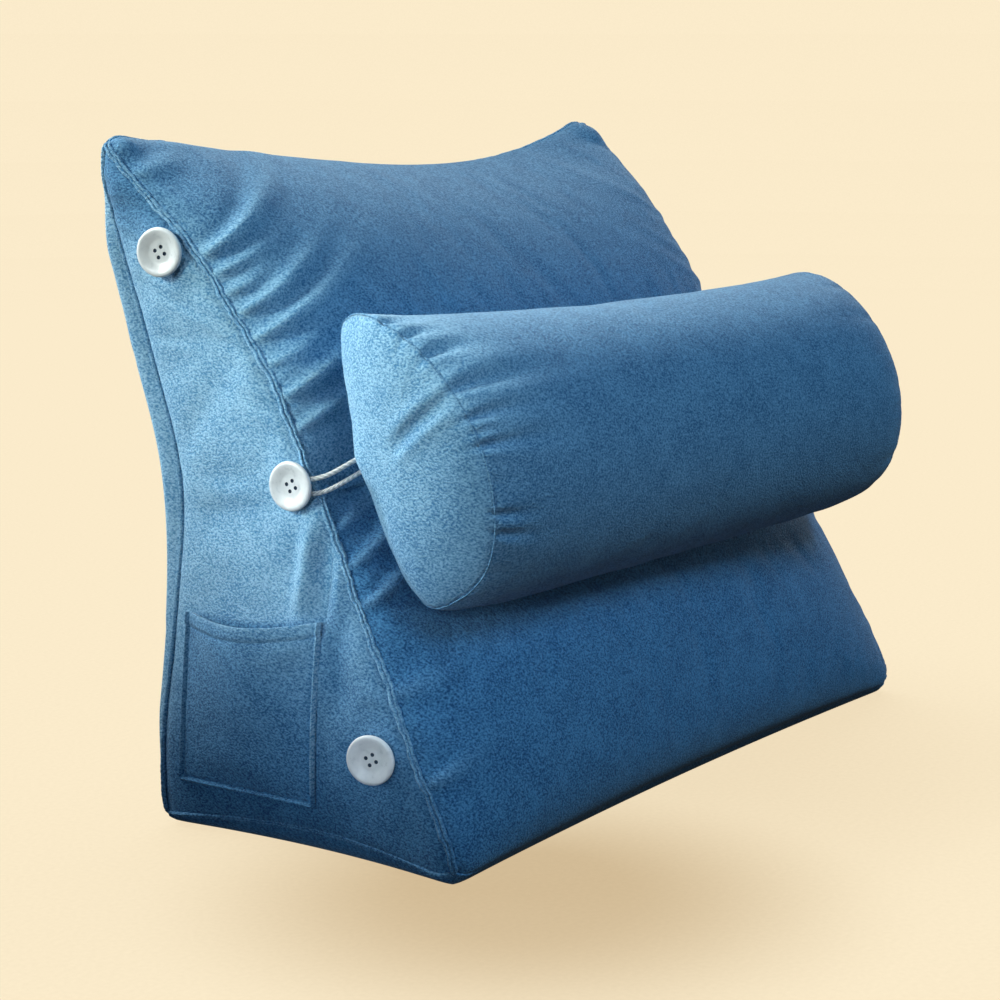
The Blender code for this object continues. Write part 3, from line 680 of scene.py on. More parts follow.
def front_nap_and_painted_light(grid):
    """The front's dark pile with painted light at its top and beside its left seam among the gathers, and
    painted highlights on the crests of the gathers.
    """
    from_left, height = run_along(grid, 1), grid[..., 2]
    crest = np.clip(gathers(from_left, height) / CREST_DEPTH, 0, 1)
    gathered = between(GATHER_HEIGHTS, height)
    top = FRONT_TOP_PAINTED_LIGHT * smooth_step(*FRONT_TOP_HEIGHTS, height)
    beside_seam = GATHER_PAINTED_LIGHT * bell(from_left, GATHER_LIGHT_REACH) * gathered
    return top + beside_seam + (CREST_PAINTED_HIGHLIGHT + GATHERED_CREST_PAINTED_HIGHLIGHT * gathered) * crest


def wedge_panels(columns, rows, depth):
    """The panels' points with the way that each faces."""
    return {
        name: [made, hint, lay(made)]
        for name, made, hint, lay in (
            ("front", front_panel(*np.meshgrid(columns, rows)), (0, -1, 0.4), front_nap_and_painted_light),
            ("back", back_panel(*np.meshgrid(columns, rows)), (0, 1, 0), lambda grid: BACK_NAP_AND_PAINTED_LIGHT),
            ("base", base_panel(*np.meshgrid(columns, depth)), (0, 0, -1), lambda grid: 0.0),
            ("left", side_panel(LEFT, *np.meshgrid(depth, rows)), (-1, 0, 0), left_side_nap_and_painted_shadow),
            ("right", side_panel(RIGHT, *np.meshgrid(depth, rows)), (1, 0, 0), side_nap_and_painted_shade),
        )
    }


def add_mesh(name, made):
    piece = bpy.data.objects.new(name, made)
    bpy.context.scene.collection.objects.link(piece)
    return piece


def welded(grids):
    """All points of some grids, the first of each set of like points, and the set of each point."""
    flat = np.concatenate([grid.reshape(-1, 3) for grid in grids])
    _, first, index = np.unique(np.round(flat, 5), axis=0, return_index=True, return_inverse=True)
    return flat, first, index.reshape(-1)


def sewn(name, grids, finish):
    """One welded mesh of several grids; each has its points, the way it faces, and how light its pile is, a
    value that also carries painted light and painted shade.

    The value is one number for the whole grid or one for each point.
    """
    flat, first, index = welded([grid for grid, _, _ in grids])
    naps_and_painted_light = np.concatenate([np.broadcast_to(nap, grid.shape[:2]).ravel() for grid, _, nap in grids])
    faces, uvs, start = [], [], 0
    for grid, hint, _ in grids:
        rows, columns = grid.shape[:2]
        near = index[start : start + rows * columns].reshape(rows, columns)
        start += rows * columns
        run = np.stack([run_along(grid, 1), run_along(grid, 0)], axis=-1)
        r = (rows - 1) // 2
        normal = np.cross(grid[r, 1:] - grid[r, :-1], grid[r + 1, :-1] - grid[r, :-1])
        away = grid[r, :-1] - grid[r, :-1].mean(0) if hint is None else np.array(hint)
        turned = (normal * away).sum() < 0
        for i in range(rows - 1):
            for j in range(columns - 1):
                corners = ((i, j), (i, j + 1), (i + 1, j + 1), (i + 1, j))
                corners = corners[::-1] if turned else corners
                face = {near[corner]: run[corner] for corner in corners}
                if len(face) > 2:
                    faces.append(tuple(face))
                    uvs.extend(face.values())
    made = bpy.data.meshes.new(name)
    made.from_pydata(flat[first], [], faces)
    layer = made.uv_layers.new(name="cloth")
    layer.data.foreach_set("uv", np.array(uvs, np.float32).ravel())
    # This attribute holds the pile's tone together with painted light and painted shade.
    light = made.attributes.new("nap", "FLOAT", "POINT")
    light.data.foreach_set("value", naps_and_painted_light[first].astype(np.float32))
    made.shade_smooth()
    made.materials.append(finish)
    return add_mesh(name, made)


def edge_line(grid, edge, inside=0):
    """The line of a grid that lies on one of its edges, or that many lines inside it."""
    return {
        "west": grid[:, inside],
        "east": grid[:, -1 - inside],
        "south": grid[inside],
        "north": grid[-1 - inside],
    }[edge]


def unit(vectors):
    return vectors / np.maximum(np.linalg.norm(vectors, axis=-1, keepdims=True), 1e-12)


def evenly(path, step, *carried):
    """A path resampled to even steps, with what is carried along it."""
    run = run_along(path[None], 1)[0]
    keep = np.concatenate([[True], np.diff(run) > 1e-7])
    at = np.linspace(0, run[-1], max(8, int(run[-1] / step)))
    return at, *(smooth_through(run[keep], values[keep], at) for values in (path, *carried))


def waves(run, seed):
    """A slow uneven wave along a seam, about -1 to 1."""
    phases = np.random.default_rng(seed).uniform(0, 2 * math.pi, len(RIDGE_WAVES))
    parts = [
        share * np.sin(2 * math.pi * run / length + phase)
        for (length, share), phase in zip(RIDGE_WAVES, phases)
    ]
    return sum(parts) / sum(share for _, share in RIDGE_WAVES)


def tube(path, across, outward, profile, scale):
    """A grid of points round a path; profile holds each point's distance across and outward."""
    profile = np.array([*profile, profile[0]])
    wide = path[:, None] + across[:, None] * (profile[:, 0] * scale[:, None])[..., None]
    return wide + outward[:, None] * (profile[:, 1] * scale[:, None])[..., None]


def evened(values, passes, closed):
    """Values of a grid smoothed over their neighbours; a closed grid's last column is its first."""
    values = values[:, :-1] if closed else values
    for _ in range(passes):
        wide = np.pad(values, ((1, 1), (0, 0)), mode="edge")
        wide = np.pad(wide, ((0, 0), (1, 1)), mode="wrap" if closed else "edge")
        near = wide[:-2, 1:-1] + wide[2:, 1:-1] + wide[1:-1, :-2] + wide[1:-1, 2:]
        values = (near + 4 * values) / 8
    return np.concatenate([values, values[:, :1]], axis=1) if closed else values


def stuffed_folds(grids, held):
    """Stuff a cover as cloth, its held points fixed, and find the folds that form on each grid.

    Each grid comes with the way that it faces. A fold is how far a point stands out from the
    points round it.
    """
    _, first, index = welded([grid for grid, _ in grids])
    trial = sewn("cloth_trial", [(grid, hint, 0.0) for grid, hint in grids], None)
    fixed = np.concatenate([mask.ravel() for mask in held])[first]
    pins = trial.vertex_groups.new(name="held")
    pins.add([int(i) for i in np.flatnonzero(fixed)], 1.0, "REPLACE")
    cloth = trial.modifiers.new("stuffing", "CLOTH")
    cloth.settings.quality = 5
    cloth.settings.mass = 0.2
    cloth.settings.tension_stiffness = cloth.settings.compression_stiffness = 15
    cloth.settings.shear_stiffness = 5
    cloth.settings.bending_stiffness = 0.1
    cloth.settings.shrink_min = -TRIAL_FULLNESS
    cloth.settings.use_pressure = True
    cloth.settings.uniform_pressure_force = TRIAL_STUFFING
    cloth.settings.effector_weights.gravity = 0
    cloth.settings.vertex_group_mass = pins.name
    cloth.collision_settings.use_collision = False
    cloth.point_cache.frame_start, cloth.point_cache.frame_end = 1, TRIAL_FRAMES
    for frame_number in range(1, TRIAL_FRAMES + 1):
        bpy.context.scene.frame_set(frame_number)
    settled = trial.evaluated_get(bpy.context.evaluated_depsgraph_get()).data
    found = np.empty(3 * len(settled.vertices))
    settled.vertices.foreach_get("co", found)
    found = found.reshape(-1, 3)[index]
    bpy.context.scene.frame_set(1)
    bpy.data.objects.remove(trial)
    folds, start = [], 0
    for grid, hint in grids:
        stop = start + grid.shape[0] * grid.shape[1]
        moved = ((found[start:stop].reshape(grid.shape) - grid) * normals_of(grid, hint)).sum(-1)
        closed = np.allclose(grid[:, 0], grid[:, -1])
        fold = moved - evened(moved, TRIAL_SMOOTHING, closed)
        folds.append(TRIAL_LIMIT * np.tanh(fold / TRIAL_LIMIT))
        start = stop
    return folds


def finer(folds, rows, columns, fine_rows, fine_columns):
    """Folds of a coarse grid at the lines of a finer one."""
    tall = smooth_through(rows, folds, fine_rows)
    return smooth_through(columns, tall.T, fine_columns).T


def stitched(run, depth, sharpness):
    """How far each stitch of a seam draws its ridge in, as a share of the ridge's size."""
    return 1 - depth * np.abs(np.sin(math.pi * run / STITCH_PITCH)) ** sharpness


def seam_ridges(panels):
    """The ridges along all seams of the wedge."""
    faces = {name: normals_of(grid, hint) for name, (grid, hint, _) in panels.items()}
    ridges = []
    for seed, (first, edge, second, other, size, wander) in enumerate(SEAMS):
        path = edge_line(panels[first][0], edge)
        outward = unit(edge_line(faces[first], edge, 3) + edge_line(faces[second], other, 3))
        run, path, outward = evenly(path, RIDGE_STEP, outward)
        along = unit(np.gradient(path, axis=0))
        across = unit(np.cross(along, outward))
        outward = np.cross(across, along)
        path = path + across * (wander * waves(run, seed))[:, None]
        ends = np.clip(np.minimum(run, run[-1] - run) / RIDGE_END, 0, 1) ** 0.5
        uneven = 1 + RIDGE_UNEVENNESS * waves(run, seed + 50)
        scale = MM * size * ends * stitched(run, *RIDGE_PINCH) * uneven
        # The ridges' light tone is partly painted light, with painted shade toward the foot of the wedge.
        nap = RIDGE_NAP_AND_PAINTED_LIGHT * smooth_step(*RIDGE_FOOT_SHADE_HEIGHTS, path[:, None, 2]) + RIDGE_FOOT_NAP
        ridges.append((tube(path, across, outward, RIDGE_PROFILE, scale), None, nap))
    return ridges


def add_node(tree, kind, links=None, values=None, **settings):
    """Add a node with its settings, its own values and what is linked into it."""
    made = tree.nodes.new(kind)
    for name, value in settings.items():
        setattr(made, name, value)
    for socket, value in (values or {}).items():
        made.inputs[socket].default_value = value
    for socket, source in (links or {}).items():
        tree.links.new(source, made.inputs[socket])
    return made


def empty_material(name):
    made = bpy.data.materials.new(name)
    made.use_nodes = True
    return made, made.node_tree, made.node_tree.nodes["Principled BSDF"]


def brushed_plush():
    """Short polyester pile, brushed one way: its tips catch the light and its roots stay deep."""
    made, tree, shader = empty_material("short_pile_plush")
    place = add_node(tree, "ShaderNodeTexCoord").outputs["Object"]
    turn = {"Scale": (1.0, 0.85, 1.25), "Rotation": (0.7, 0.3, 0.0)}
    pile = add_node(tree, "ShaderNodeMapping", {"Vector": place}, turn)
    tufts = add_node(
        tree,
        "ShaderNodeTexNoise",
        {"Vector": pile.outputs["Vector"]},
        {"Scale": TUFTS_PER_METRE, "Detail": 2.0, "Roughness": 0.55},
    ).outputs["Fac"]
    crush = add_node(
        tree,
        "ShaderNodeTexNoise",
        {"Vector": place},
        {"Scale": CRUSH_PER_METRE, "Detail": 2.0, "Roughness": 0.5},
    ).outputs["Fac"]
    mixed = add_node(tree, "ShaderNodeMix", {"A": tufts, "B": crush}, {"Factor": 0.15})
    # The two tone pairs are mixed by the pile attribute, which paints light and shade as well as giving each
    # panel its tone.
    tones = {"Factor": add_node(tree, "ShaderNodeAttribute", attribute_name="nap").outputs["Fac"]}
    for way, (roots, tips) in {"A": AGAINST_NAP_AND_PAINTED_SHADE, "B": ALONG_NAP_AND_PAINTED_LIGHT}.items():
        ramp = add_node(tree, "ShaderNodeValToRGB", {"Fac": mixed.outputs["Result"]})
        low, high = ramp.color_ramp.elements
        low.position, low.color = 0.37, (*linear(roots), 1)
        high.position, high.color = 0.62, (*linear(tips), 1)
        tones[way] = ramp.outputs["Color"]
    cloth = add_node(tree, "ShaderNodeMix", tones, data_type="RGBA")
    bump = add_node(tree, "ShaderNodeBump", {"Height": tufts}, {"Strength": 0.8, "Distance": 0.0012})
    tree.links.new(cloth.outputs["Result"], shader.inputs["Base Color"])
    tree.links.new(bump.outputs["Normal"], shader.inputs["Normal"])
    shader.inputs["Roughness"].default_value = 0.95
    shader.inputs["Sheen Weight"].default_value = 0.35
    shader.inputs["Sheen Roughness"].default_value = 0.5
    shader.inputs["Sheen Tint"].default_value = (*linear("#C4DDEE"), 1)
    shader.inputs["Specular IOR Level"].default_value = 0.15
    return made


def moulded_plastic():
    """Glossy moulded polyester, off-white, with the faint haze of a tumbled button."""
    made, tree, shader = empty_material("polished_button_polyester")
    place = add_node(tree, "ShaderNodeTexCoord").outputs["Object"]
    values = {"Scale": HAZE_PER_METRE, "Detail": 2.0}
    haze = add_node(tree, "ShaderNodeTexNoise", {"Vector": place}, values).outputs["Fac"]
    tone = add_node(tree, "ShaderNodeValToRGB", {"Fac": haze})
    tone.color_ramp.elements[0].color = (*linear("#CBD3D8"), 1)
    tone.color_ramp.elements[1].color = (*linear("#E6EAEC"), 1)
    gloss = add_node(tree, "ShaderNodeMapRange", {"Value": haze}, {"To Min": 0.22, "To Max": 0.36})
    tree.links.new(tone.outputs["Color"], shader.inputs["Base Color"])
    tree.links.new(gloss.outputs["Result"], shader.inputs["Roughness"])
    shader.inputs["IOR"].default_value = 1.5
    shader.inputs["Subsurface Weight"].default_value = 0.1
    shader.inputs["Subsurface Radius"].default_value = (0.003, 0.003, 0.003)
    return made


def sewing_thread():
    """Navy polyester thread, seen only deep in the holes of the buttons."""
    made, tree, shader = empty_material("navy_sewing_thread")
    place = add_node(tree, "ShaderNodeTexCoord").outputs["Object"]
    values = {"Scale": STRANDS_PER_METRE, "Detail": 1.0}
    strands = add_node(tree, "ShaderNodeTexNoise", {"Vector": place}, values)
    tone = add_node(tree, "ShaderNodeValToRGB", {"Fac": strands.outputs["Fac"]})
    tone.color_ramp.elements[0].color = (*linear("#0E1A28"), 1)
    tone.color_ramp.elements[1].color = (*linear("#24405C"), 1)
    tree.links.new(tone.outputs["Color"], shader.inputs["Base Color"])
    shader.inputs["Roughness"].default_value = 0.8
    return made


def braided_elastic():
    """Braided polyester over a rubber core, white: fine threads cross on a soft dull cord."""
    made, tree, shader = empty_material("braided_elastic_cord")
    cloth = add_node(tree, "ShaderNodeUVMap", uv_map="cloth")
    threads = add_node(
        tree,
        "ShaderNodeTexWave",
        {"Vector": cloth.outputs["UV"]},
        {"Scale": BRAID_SCALE, "Distortion": 1.5, "Detail": 1.0},
        bands_direction="DIAGONAL",
    ).outputs["Fac"]
    tone = add_node(tree, "ShaderNodeValToRGB", {"Fac": threads})
    tone.color_ramp.elements[0].color = (*linear("#B9C0C2"), 1)
    tone.color_ramp.elements[1].color = (*linear("#EEF0EE"), 1)
    bump = add_node(tree, "ShaderNodeBump", {"Height": threads}, {"Strength": 0.5, "Distance": 0.0002})
    tree.links.new(tone.outputs["Color"], shader.inputs["Base Color"])
    tree.links.new(bump.outputs["Normal"], shader.inputs["Normal"])
    shader.inputs["Roughness"].default_value = 0.8
    shader.inputs["Sheen Weight"].default_value = 0.2
    return made


def dress(piece, slot, *nodes):
    """Let a piece ride on the cushion and stand for CAD nodes."""
    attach(piece, "root")
    if nodes:
        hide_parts(*nodes)
    return piece


def facing(direction):
    """The turn that points a lamp or a camera along a direction."""
    return direction.to_track_quat("-Z", "Y").to_euler()


def lit_paper(look):
    """Matt pale paper, evenly lit, with the cushion's soft shadow painted on it."""
    made, tree, shader = empty_material("matt_backdrop_paper")
    place = add_node(tree, "ShaderNodeTexCoord").outputs["Object"]
    ends = ("From Min", "From Max", "To Min", "To Max")
    # Painted contact shadow: darker where an occlusion test, leaned toward the back and right, finds the
    # cushion close by.
    lean = add_node(tree, "ShaderNodeCombineXYZ", {}, dict(zip("XYZ", SHADOW_LEAN)))
    hidden = add_node(
        tree,
        "ShaderNodeAmbientOcclusion",
        {"Normal": lean.outputs["Vector"]},
        {"Distance": SHADOW_REACH},
        samples=24,
    )
    contact = add_node(
        tree,
        "ShaderNodeMapRange",
        {"Value": hidden.outputs["AO"]},
        dict(zip(ends, (*CONTACT_SHADOW_OPENNESS, CONTACT_SHADOW_SHARE, 0.0))),
    )
    # Painted pool of shadow, deepest at its centre before the cushion's near left corner.
    away = add_node(tree, "ShaderNodeVectorMath", {0: place}, {1: SHADOW_POOL_CENTRE}, operation="DISTANCE")
    pool = add_node(
        tree,
        "ShaderNodeMapRange",
        {"Value": away.outputs["Value"]},
        dict(zip(ends, (*SHADOW_POOL_REACH, SHADOW_POOL_SHARE, 0.0))),
        interpolation_type="SMOOTHSTEP",
    )
    shares = {0: pool.outputs["Result"], 1: contact.outputs["Result"]}
    dark = add_node(tree, "ShaderNodeMath", shares, use_clamp=True)
    tones = {"A": (*look.paper, 1), "B": (*look.shadow, 1)}
    paper = add_node(tree, "ShaderNodeMix", {"Factor": dark.outputs["Value"]}, tones, data_type="RGBA")
    values = {"Scale": GRAIN_PER_METRE, "Detail": 3.0}
    fibres = add_node(tree, "ShaderNodeTexNoise", {"Vector": place}, values).outputs["Fac"]
    grain = add_node(tree, "ShaderNodeMapRange", {"Value": fibres}, dict(zip(ends[2:], PAPER_GRAIN)))
    tree.links.new(paper.outputs["Result"], shader.inputs["Emission Color"])
    tree.links.new(grain.outputs["Result"], shader.inputs["Emission Strength"])
    shader.inputs["Base Color"].default_value = (0, 0, 0, 1)
    shader.inputs["Roughness"].default_value = 1.0
    shader.inputs["Specular IOR Level"].default_value = 0.0
    return made


def round_sheet(name, height=0.0):
    """A flat round sheet as wide as the studio's floor."""
    bpy.ops.object.select_all(action="DESELECT")
    bpy.ops.mesh.primitive_circle_add(
        vertices=SWEEP_SEGMENTS, radius=SWEEP_FLOOR, fill_type="NGON", location=(0, 0, height)
    )
    sheet = bpy.context.active_object
    sheet.name = name
    bpy.ops.object.transform_apply(location=True)
    return sheet


def paper_sweep(look):
    """A round sweep of pale paper: a flat floor whose rim curves up all round."""
    sweep = round_sheet("paper_sweep")
    bpy.ops.object.mode_set(mode="EDIT")
    bpy.ops.mesh.select_all(action="SELECT")
    bpy.ops.mesh.region_to_loop()
    reach, turn = SWEEP_FLOOR, math.pi / 2 / SWEEP_STEPS
    for i in range(1, SWEEP_STEPS + 1):
        radius = SWEEP_FLOOR + SWEEP_CURVE * math.sin(turn * i)
        climb = SWEEP_CURVE * (math.cos(turn * (i - 1)) - math.cos(turn * i))
        bpy.ops.mesh.extrude_region_move(TRANSFORM_OT_translate={"value": (0, 0, climb)})
        wider = radius / reach
        bpy.ops.transform.resize(value=(wider, wider, 1), center_override=(0, 0, 0))
        reach = radius
    bpy.ops.mesh.extrude_region_move(TRANSFORM_OT_translate={"value": (0, 0, SWEEP_WALL)})
    bpy.ops.mesh.select_all(action="SELECT")
    bpy.ops.mesh.normals_make_consistent(inside=True)
    bpy.ops.object.mode_set(mode="OBJECT")
    sweep.data.shade_smooth()
    sweep.data.materials.append(lit_paper(look))
    sweep.visible_diffuse = False
    sweep.visible_glossy = False
    return sweep


def black_card():
    """A matt black card under the paper: it keeps light from rising into the cushion's underside."""
    card = round_sheet("black_card", -CARD_DEPTH)
    made, _, shader = empty_material("matt_black_card")
    shader.inputs["Base Color"].default_value = (0.01, 0.01, 0.01, 1)
    shader.inputs["Roughness"].default_value = 1.0
    card.data.materials.append(made)
    return card


class CUSHION_PG_cloth(bpy.types.PropertyGroup):
    gather_strength: bpy.props.FloatProperty(
        name="Gather strength",
        description="How deep the gathers at the seams are, against the usual depth",
        default=1.0,
        min=0.0,
        max=2.0,
    )


class CUSHION_PG_studio(bpy.types.PropertyGroup):
    paper: bpy.props.FloatVectorProperty(
        name="Paper",
        description="Colour of the backdrop paper",
        subtype="COLOR",
        size=3,
        min=0.0,
        max=1.0,
        default=linear("#FBEBCB"),
    )
    shadow: bpy.props.FloatVectorProperty(
        name="Shadow",
        description="Colour of the paper where the cushion's shadow is deepest",
        subtype="COLOR",
        size=3,
        min=0.0,
        max=1.0,
        default=linear("#D2BB96"),
    )
    light_share: bpy.props.FloatProperty(
        name="Lights",
        description="Strength of all the lamps, against the usual strength",
        default=1.0,
        min=0.0,
        max=4.0,
    )
    air_share: bpy.props.FloatProperty(
        name="Air",
        description="Strength of the even light from all round",
        default=0.05,
        min=0.0,
        max=4.0,
    )


def wedge_folds(columns, rows, depth):
    """The folds of the wedge's upright panels, from a trial on coarser grids."""
    wide, tall, deep = (np.linspace(0, 1, count + 1) for count in TRIAL_GRID)
    panels = wedge_panels(wide, tall, deep)
    held = []
    for name, (grid, _, _) in panels.items():
        mask = np.zeros(grid.shape[:2], bool)
        mask[[0, -1]] = mask[:, [0, -1]] = True
        mask |= name == "base"
        if name == "front":
            mask |= under_bolster(grid) > 0.5
        held.append(mask)
    found = stuffed_folds([(grid, hint) for grid, hint, _ in panels.values()], held)
    folds = {}
    for (name, (grid, _, _)), fold in zip(panels.items(), found):
        from_side = np.minimum(*from_sides(grid))
        free = smooth_step(0, TRIAL_EDGE, from_side) * smooth_step(*TRIAL_FOOT, grid[..., 2])
        if name == "front":
            free = free * (1 - under_bolster(grid))
        if name == "left":
            free = free * (1 - behind_pocket(grid))
        lines = depth if name in ("left", "right", "base") else columns
        coarse = deep if name in ("left", "right", "base") else wide
        if name != "base":
            folds[name] = FOLD_SHARES[name] * finer(fold * free, tall, coarse, rows, lines)
    return folds


def under_bolster(grid):
    """1 where the front lies under the bolster, fading to 0 beside it."""
    along, _, up = bolster_axes()
    offset = grid - BOLSTER_CENTRE
    end = BOLSTER_HALF_LENGTH
    beside = smooth_step(end, end + SHELTER_PAST_END, np.abs(offset @ along))
    above = smooth_step(*SHELTER_HEIGHTS, np.abs(offset @ up))
    return (1 - beside) * (1 - above)


def behind_pocket(grid):
    """1 where a side lies behind the pocket, fading to 0 round it."""
    y, z = grid[..., 1], grid[..., 2]
    middle = (POCKET_FRONT_Y + POCKET_REAR_Y) / 2
    half = (POCKET_REAR_Y - POCKET_FRONT_Y) / 2
    beside = smooth_step(half, half + POCKET_CLEAR, np.abs(y - middle))
    return (1 - beside) * (1 - smooth_step(POCKET_TOP_Z, POCKET_TOP_Z + POCKET_CLEAR_ABOVE, z))


class CUSHION_OT_wedge(bpy.types.Operator):
    """Sew and stuff the wedge: sloping front, back, base and two triangular sides"""

    bl_idname = "cushion.wedge"
    bl_label = "Wedge cushion"

    def execute(self, context):
        lines = seam_lines(COLUMNS), seam_lines(ROWS, ROW_CROWDING), seam_lines(SIDE_COLUMNS)
        panels = wedge_panels(*lines)
        folds = wedge_folds(*lines)
        details = {"front": front_detail, "back": back_detail, "left": side_detail, "right": side_detail}
        for name, detail in details.items():
            grid, hint, _ = panels[name]
            swell = (detail(grid) + folds[name]) * context.scene.cushion_cloth.gather_strength
            panels[name][0] = grid + swell[..., None] * normals_of(grid, hint)
        for panel in panels.values():
            panel[0] = round_corners(panel[0])
        finish = brushed_plush()
        piece = sewn("wedge_cover", list(panels.values()), finish)
        dress(piece, "plush", "wedge_cushion")
        ridges = sewn("wedge_seam_ridges", seam_ridges(panels), finish)
        dress(ridges, "plush")
        return {"FINISHED"}


def bolster_section(angle, squareness=REAR_SQUARENESS):
    """One round of the bolster: outward and upward distance for each angle."""
    c, s = np.cos(angle), np.sin(angle)
    power = 2 / squareness
    rear = -BOLSTER_REAR_DEPTH * np.abs(c) ** power
    squared = np.sign(s) * np.abs(s) ** power
    out = np.where(c > 0, BOLSTER_FRONT_DEPTH * c, rear)
    return out, BOLSTER_HALF_HEIGHT * np.where(c > 0, s, squared)


def bolster_rings(cap_rings, body_rings):
    """Each ring's place along the axis, its share of the full section, and how near a seam it is."""
    cap = []
    for share in np.linspace(0, 1, cap_rings + 1) ** CAP_CROWDING:
        along = -BOLSTER_HALF_LENGTH - CAP_BULGE * (1 - share**CAP_FULLNESS)
        cap.append((along, share, 1.0, CAP_POLE_FORWARD * (1 - share)))
    body = []
    for share in seam_lines(body_rings + 1)[1:-1]:
        along = BOLSTER_HALF_LENGTH * (2 * share - 1)
        narrowing = math.exp(-(BOLSTER_HALF_LENGTH - abs(along)) / SHOULDER_LENGTH)
        body.append((along, 1.0, narrowing, 0.0))
    far_cap = [(-along, *rest) for along, *rest in reversed(cap)]
    return np.array(cap + body + far_cap)


def bolster_grid(sides, cap_rings, body_rings):
    """The bolster's rounds, from the left end to the right."""
    along, outward, upward = bolster_axes()
    angle = np.linspace(0, 2 * math.pi, sides + 1)
    grid = []
    for place, share, narrowing, forward in bolster_rings(cap_rings, body_rings):
        near = narrowing if place < 0 else 0
        squareness = REAR_SQUARENESS + (NEAR_SQUARENESS - REAR_SQUARENESS) * near
        section_out, section_up = bolster_section(angle, squareness)
        top = np.clip(section_up / BOLSTER_HALF_HEIGHT, 0, 1)
        drawn = section_out * (1 - NEAR_REAR_DRAW * near * top)
        section_out = np.where(section_out < 0, drawn, section_out)
        tilt = NEAR_TILT * math.exp(-max(place + BOLSTER_HALF_LENGTH, 0) / NEAR_TILT_REACH)
        pinch_top = NEAR_PINCH_TOP if place < 0 else FAR_PINCH_TOP
        pinch = SHOULDER_PINCH + (pinch_top - SHOULDER_PINCH) * top
        fuller = 1 + BOLSTER_TAPER * place / BOLSTER_HALF_LENGTH
        out = section_out * share * (1 - FRONT_PINCH * narrowing) * fuller + forward
        up = section_up * share * (1 - pinch * narrowing) * fuller
        up = up - WAIST * top * share * (1 - (place / (BOLSTER_HALF_LENGTH + CAP_BULGE)) ** 2)
        out = np.maximum(out, -BOLSTER_REAR_FLAT)
        leaning = place - tilt * up * smooth_step(*NEAR_TILT_OUT, out)
        flat = BOLSTER_CENTRE + np.outer(leaning, along)
        grid.append(flat + np.outer(out, outward) + np.outer(up, upward))
    return np.array(grid)


def tuck_rows(distance, angle, tucks):
    """How far the tucks of one end seam press in; the distance from the seam is negative inside it."""
    inside, outside = np.maximum(-distance, 0), np.maximum(distance, 0)
    pressed = np.zeros(distance.shape)
    for degrees, length, width, depth in tucks:
        off = np.angle(np.exp(1j * (angle - math.radians(degrees)))) * BOLSTER_MEAN_RADIUS
        fade = np.exp(-((inside / length) ** 1.5)) * np.exp(-outside / TUCK_PAST_SEAM)
        fade = fade * (TUCK_AT_SEAM + (1 - TUCK_AT_SEAM) * smooth_step(0, TUCK_RISE, inside))
        across = off / (width * (TUCK_START + inside / length * TUCK_WIDENING))
        pressed += depth * fade * (TUCK_HOLLOW * bell(across, 1) - TUCK_BANK * bell(across, TUCK_BANK_WIDTH))
    return pressed


def bolster_detail(grid, near_tucks, far_tucks):
    """How far each point stands out: tucks and grooves at the end seams, and the folds of the near end."""
    offset = grid - BOLSTER_CENTRE
    _, out, up = (offset @ axis for axis in bolster_axes())
    angle = np.arctan2(up, out)
    total = np.zeros(angle.shape)
    run = run_along(grid, 0)
    near_row, far_row = CAP_RINGS, CAP_RINGS + BODY_RINGS
    for row, side, tucks in ((near_row, LEFT, near_tucks), (far_row, RIGHT, far_tucks)):
        distance = side * (run - run[row])
        total -= tuck_rows(distance, angle, tucks) + END_SEAM_DIP * bell(distance, END_SEAM_DIP_REACH)
    total -= (run < run[near_row]) * crease(out, up, *CAP_FOLD)
    from_cord = np.linalg.norm(grid - np.array(CORD_PULL_AT), axis=-1)
    total += CORD_PULL * bell(from_cord, CORD_PULL_REACH)
    return total * np.clip((out + BOLSTER_REAR_FLAT) / REAR_FADE, 0, 1)


def ring_shares(cap_rings, body_rings):
    """Where each ring stands: 0 to 1 over the near cap, 1 to 2 over the body, 2 to 3 over the far cap."""
    cap = np.linspace(0, 1, cap_rings + 1)
    return np.concatenate([cap, 1 + seam_lines(body_rings + 1)[1:-1], 3 - cap[::-1]])


def bolster_folds(sides, cap_rings, body_rings):
    """The folds of the bolster, from a trial on a coarser grid."""
    grid = bolster_grid(*TRIAL_BOLSTER)
    out = (grid - BOLSTER_CENTRE) @ bolster_axes()[1]
    shares = ring_shares(*TRIAL_BOLSTER[1:])
    seam_row = (np.abs(shares - 1) < 1e-6) | (np.abs(shares - 2) < 1e-6)
    held = (out < REAR_HELD - BOLSTER_REAR_FLAT) | seam_row[:, None]
    (fold,) = stuffed_folds([(grid, -bolster_axes()[1])], [held])
    edge = np.minimum(np.abs(shares - 1), np.abs(shares - 2))
    free = smooth_step(0, END_FREE, edge)[:, None] * smooth_step(0, REAR_FADE, out + BOLSTER_REAR_FLAT)
    around, fine = np.linspace(0, 1, TRIAL_BOLSTER[0] + 1), np.linspace(0, 1, sides + 1)
    folds = finer(fold * free, shares, around, ring_shares(cap_rings, body_rings), fine)
    return FOLD_SHARES["bolster"] * folds


def random_tucks(seed, count, depth):
    """Uneven tucks round an end that is plain to see only from behind, none deeper than depth."""
    rng = np.random.default_rng(seed)
    tucks = []
    for i in range(count):
        degrees = 360 / count * (i + rng.uniform(-TUCK_JITTER, TUCK_JITTER)) - 180
        length, width = rng.uniform(*TUCK_LENGTHS), rng.uniform(*TUCK_WIDTHS)
        tucks.append((degrees, length, width, depth * rng.uniform(TUCK_SHALLOWEST, 1)))
    return tucks


